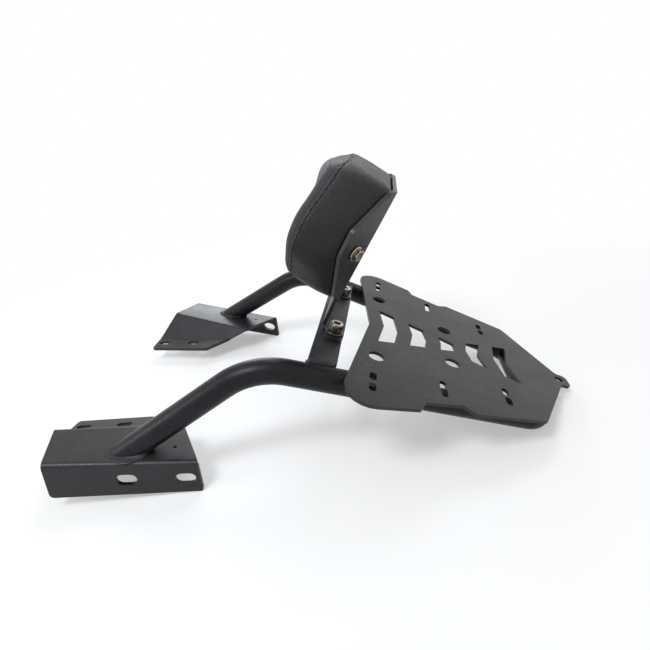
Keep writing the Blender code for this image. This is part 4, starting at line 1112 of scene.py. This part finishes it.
def seam_rings(seam):
    """The seam's edge, folded in where the front panel starts."""
    return [
        [cushion_point(drawn_in(place, inset), seam_depth(place) - back) for place in seam]
        for inset, back in SEAM_STEPS]


def crown_rings(seam):
    """The crowned front, from its tucked edge to the middle."""
    rings = []
    for step in range(1, CROWN_RINGS + 1):
        share = 1 - CROWN_REACH * (step / CROWN_RINGS) ** CROWN_SPREAD
        near_seam = max(0.0, (share - TUCK_START) / TUCK_RUN)
        ring = []
        for index, place in enumerate(seam):
            moved = MIDDLE + (place - MIDDLE) * share
            depth = crown_depth(moved, share) + SEAM_WELT * near_seam * (1 - near_seam) * 4
            tuck = TUCK * near_seam ** 2 * tuck_wave(index)
            depth += tuck + soft_wrinkle(moved, *CROWN_RIPPLE) * (1 - near_seam)
            ring.append(cushion_point(moved, depth))
        rings.append(ring)
    return rings


def stitch_capsule(shape, centre, along, normal):
    """One stitch: a short thread that dips into the leather at both ends."""
    aside = along.cross(normal).normalized()
    loops = []
    for step in range(STITCH_RINGS + 1):
        share = step / STITCH_RINGS * 2 - 1
        spread = STITCH_RADIUS * math.sqrt(max(0.02, 1 - share ** 6))
        sink = 0.9 * STITCH_RADIUS * share ** 4
        place = centre + along * (share * STITCH_LENGTH / 2)
        place += normal * (STITCH_RADIUS * 0.35 - sink)
        loop = []
        for side in range(STITCH_SIDES):
            angle = FULL_TURN * side / STITCH_SIDES
            spoke = aside * math.cos(angle) + normal * math.sin(angle)
            loop.append(shape.verts.new(place + spoke * spread))
        loops.append(loop)
    for near, far in zip(loops, loops[1:]):
        join_loops(shape, near, far)
    shape.faces.new(list(reversed(loops[0])))
    shape.faces.new(loops[-1])


def sew_seam(seam, place, material):
    """The row of stitches that holds the front panel beside its seam."""
    inner = []
    for spot in seam:
        moved = drawn_in(spot, STITCH_INSET)
        share = (moved - MIDDLE).length / (spot - MIDDLE).length
        inner.append(cushion_point(moved, crown_depth(moved, share) + STITCH_LIFT))
    route = even_points(inner, True, spacing=STITCH_PITCH)
    shape = bmesh.new()
    for index, centre in enumerate(route):
        along = (route[(index + 1) % len(route)] - route[index - 1]).normalized()
        out = Vector((0, centre.y, centre.z - MIDDLE.y)).normalized()
        normal = (Vector((-1, 0, 0)) + out * 0.75).normalized()
        normal = (normal - along * normal.dot(along)).normalized()
        stitch_capsule(shape, centre, along, normal)
    shape.transform(place)
    bmesh.ops.recalc_face_normals(shape, faces=shape.faces)
    add_piece("seam_stitches", smooth_mesh("seam_stitches", shape), material, "black_leather")


def make_cushion(leather_finish, thread):
    """The padded front of the backrest, with its gusset and sewn seam."""
    back = rounded_outline(BACK_CORNERS, BACK_CORNER_RADIUS)
    seam = rounded_outline(SEAM_CORNERS, SEAM_CORNER_RADIUS)
    rings = back_rings(back) + gusset_rings(back, seam) + seam_rings(seam) + crown_rings(seam)
    place = backrest_axes()
    mesh = lofted_mesh("cushion_skin", placed(rings, place))
    cushion = add_piece("cushion_skin", mesh, leather_finish, "black_leather", "cushion")
    sew_seam(seam, place, thread)


# Studio


def floor_material():
    """Plain pale floor that runs out to white away from the rack."""
    material, tree, shader = start_material("studio_floor", 0.85, 0.0, 0.1)
    shader.inputs["Base Color"].default_value = FLOOR_TONE
    white = add_node(tree, "ShaderNodeEmission", inputs={"Color": WHITE, "Strength": 1.0})
    place = add_node(tree, "ShaderNodeTexCoord").outputs["Object"]
    length = add_node(tree, "ShaderNodeVectorMath", operation="LENGTH")
    tree.links.new(place, length.inputs[0])
    far = remap(tree, length.outputs["Value"], *FLOOR_WHITE_RUN, FLOOR_WHITE_START)
    blend_shaders(
        tree, far, shader.outputs["BSDF"], white.outputs["Emission"], "Material Output")
    return material


def lay_floor():
    """A round pale floor under the rack."""
    shape = bmesh.new()
    bmesh.ops.create_circle(shape, cap_ends=True, segments=128, radius=FLOOR_RADIUS)
    floor = add_object("studio_floor", smooth_mesh("studio_floor", shape))
    floor.data.materials.append(floor_material())
    floor.location.z = -FLOOR_DROP


def light_world():
    """Even studio light from all round; the background itself is white."""
    world = bpy.data.worlds.new("studio")
    bpy.context.scene.world = world
    world.use_nodes = True
    tree = world.node_tree
    soft = tree.nodes["Background"]
    soft.inputs["Color"].default_value = WHITE
    soft.inputs["Strength"].default_value = WORLD_LIGHT
    white = add_node(tree, "ShaderNodeBackground", inputs={"Color": WHITE, "Strength": 1.0})
    ray = add_node(tree, "ShaderNodeLightPath").outputs
    seen = math_node(
        tree, "MAXIMUM", ray["Is Camera Ray"], ray["Is Glossy Ray"], ray["Is Transmission Ray"])
    blend_shaders(
        tree, seen, soft.outputs["Background"], white.outputs["Background"], "World Output")


def hang_softbox(name, place, aim, width, power):
    """A soft square lamp."""
    lamp = bpy.data.lights.new(name, "AREA")
    lamp.shape = "RECTANGLE"
    lamp.size = lamp.size_y = width
    lamp.energy = power
    lamp.color = LAMP_COLOUR
    item = add_object(name, lamp)
    item.location = place
    item.rotation_euler = (Vector(aim) - Vector(place)).to_track_quat("-Z", "Y").to_euler()


def set_camera():
    """The camera at the photograph's place and angle."""
    lens = bpy.data.cameras.new("photo_camera")
    lens.sensor_width = SENSOR_WIDTH
    lens.lens = LENS
    lens.clip_start = 0.01
    camera = add_object("photo_camera", lens)
    right = Vector(CAMERA_RIGHT).normalized()
    up = (Vector(CAMERA_UP) - right * right.dot(Vector(CAMERA_UP))).normalized()
    turn = Matrix((right, up, right.cross(up))).transposed().to_4x4()
    camera.matrix_world = rack_axes() @ Matrix.Translation(CAMERA_PLACE) @ turn
    bpy.context.scene.camera = camera


def paint_nodes(finishes):
    """Better finishes on the CAD nodes that stay."""
    kept = {"cushion_board": "board", "pad_insert_left": "brass", "pad_insert_right": "brass"}
    for node, finish in kept.items():
        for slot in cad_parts[node].material_slots:
            slot.material = finishes[finish]


def main():
    """Dress the rack and set up its studio."""
    finishes = make_materials()
    set_camera()
    paint_nodes(finishes)
    for node, edge_radius in SHEET_EDGE_RADII.items():
        rounded_sheet(node, edge_radius, finishes["sheet"])
    smooth_hoop(finishes["tube"])
    lay_beads(finishes["bead"])
    fit_fasteners(finishes["zinc"], finishes["washer"], finishes["brass"])
    make_cushion(finishes["leather"], finishes["thread"])
    lay_floor()
    light_world()
    for name, values in SOFTBOXES.items():
        hang_softbox(name, *values)
    bpy.context.scene.view_settings.view_transform = "Standard"


main()
bpy.context.view_layer.update()
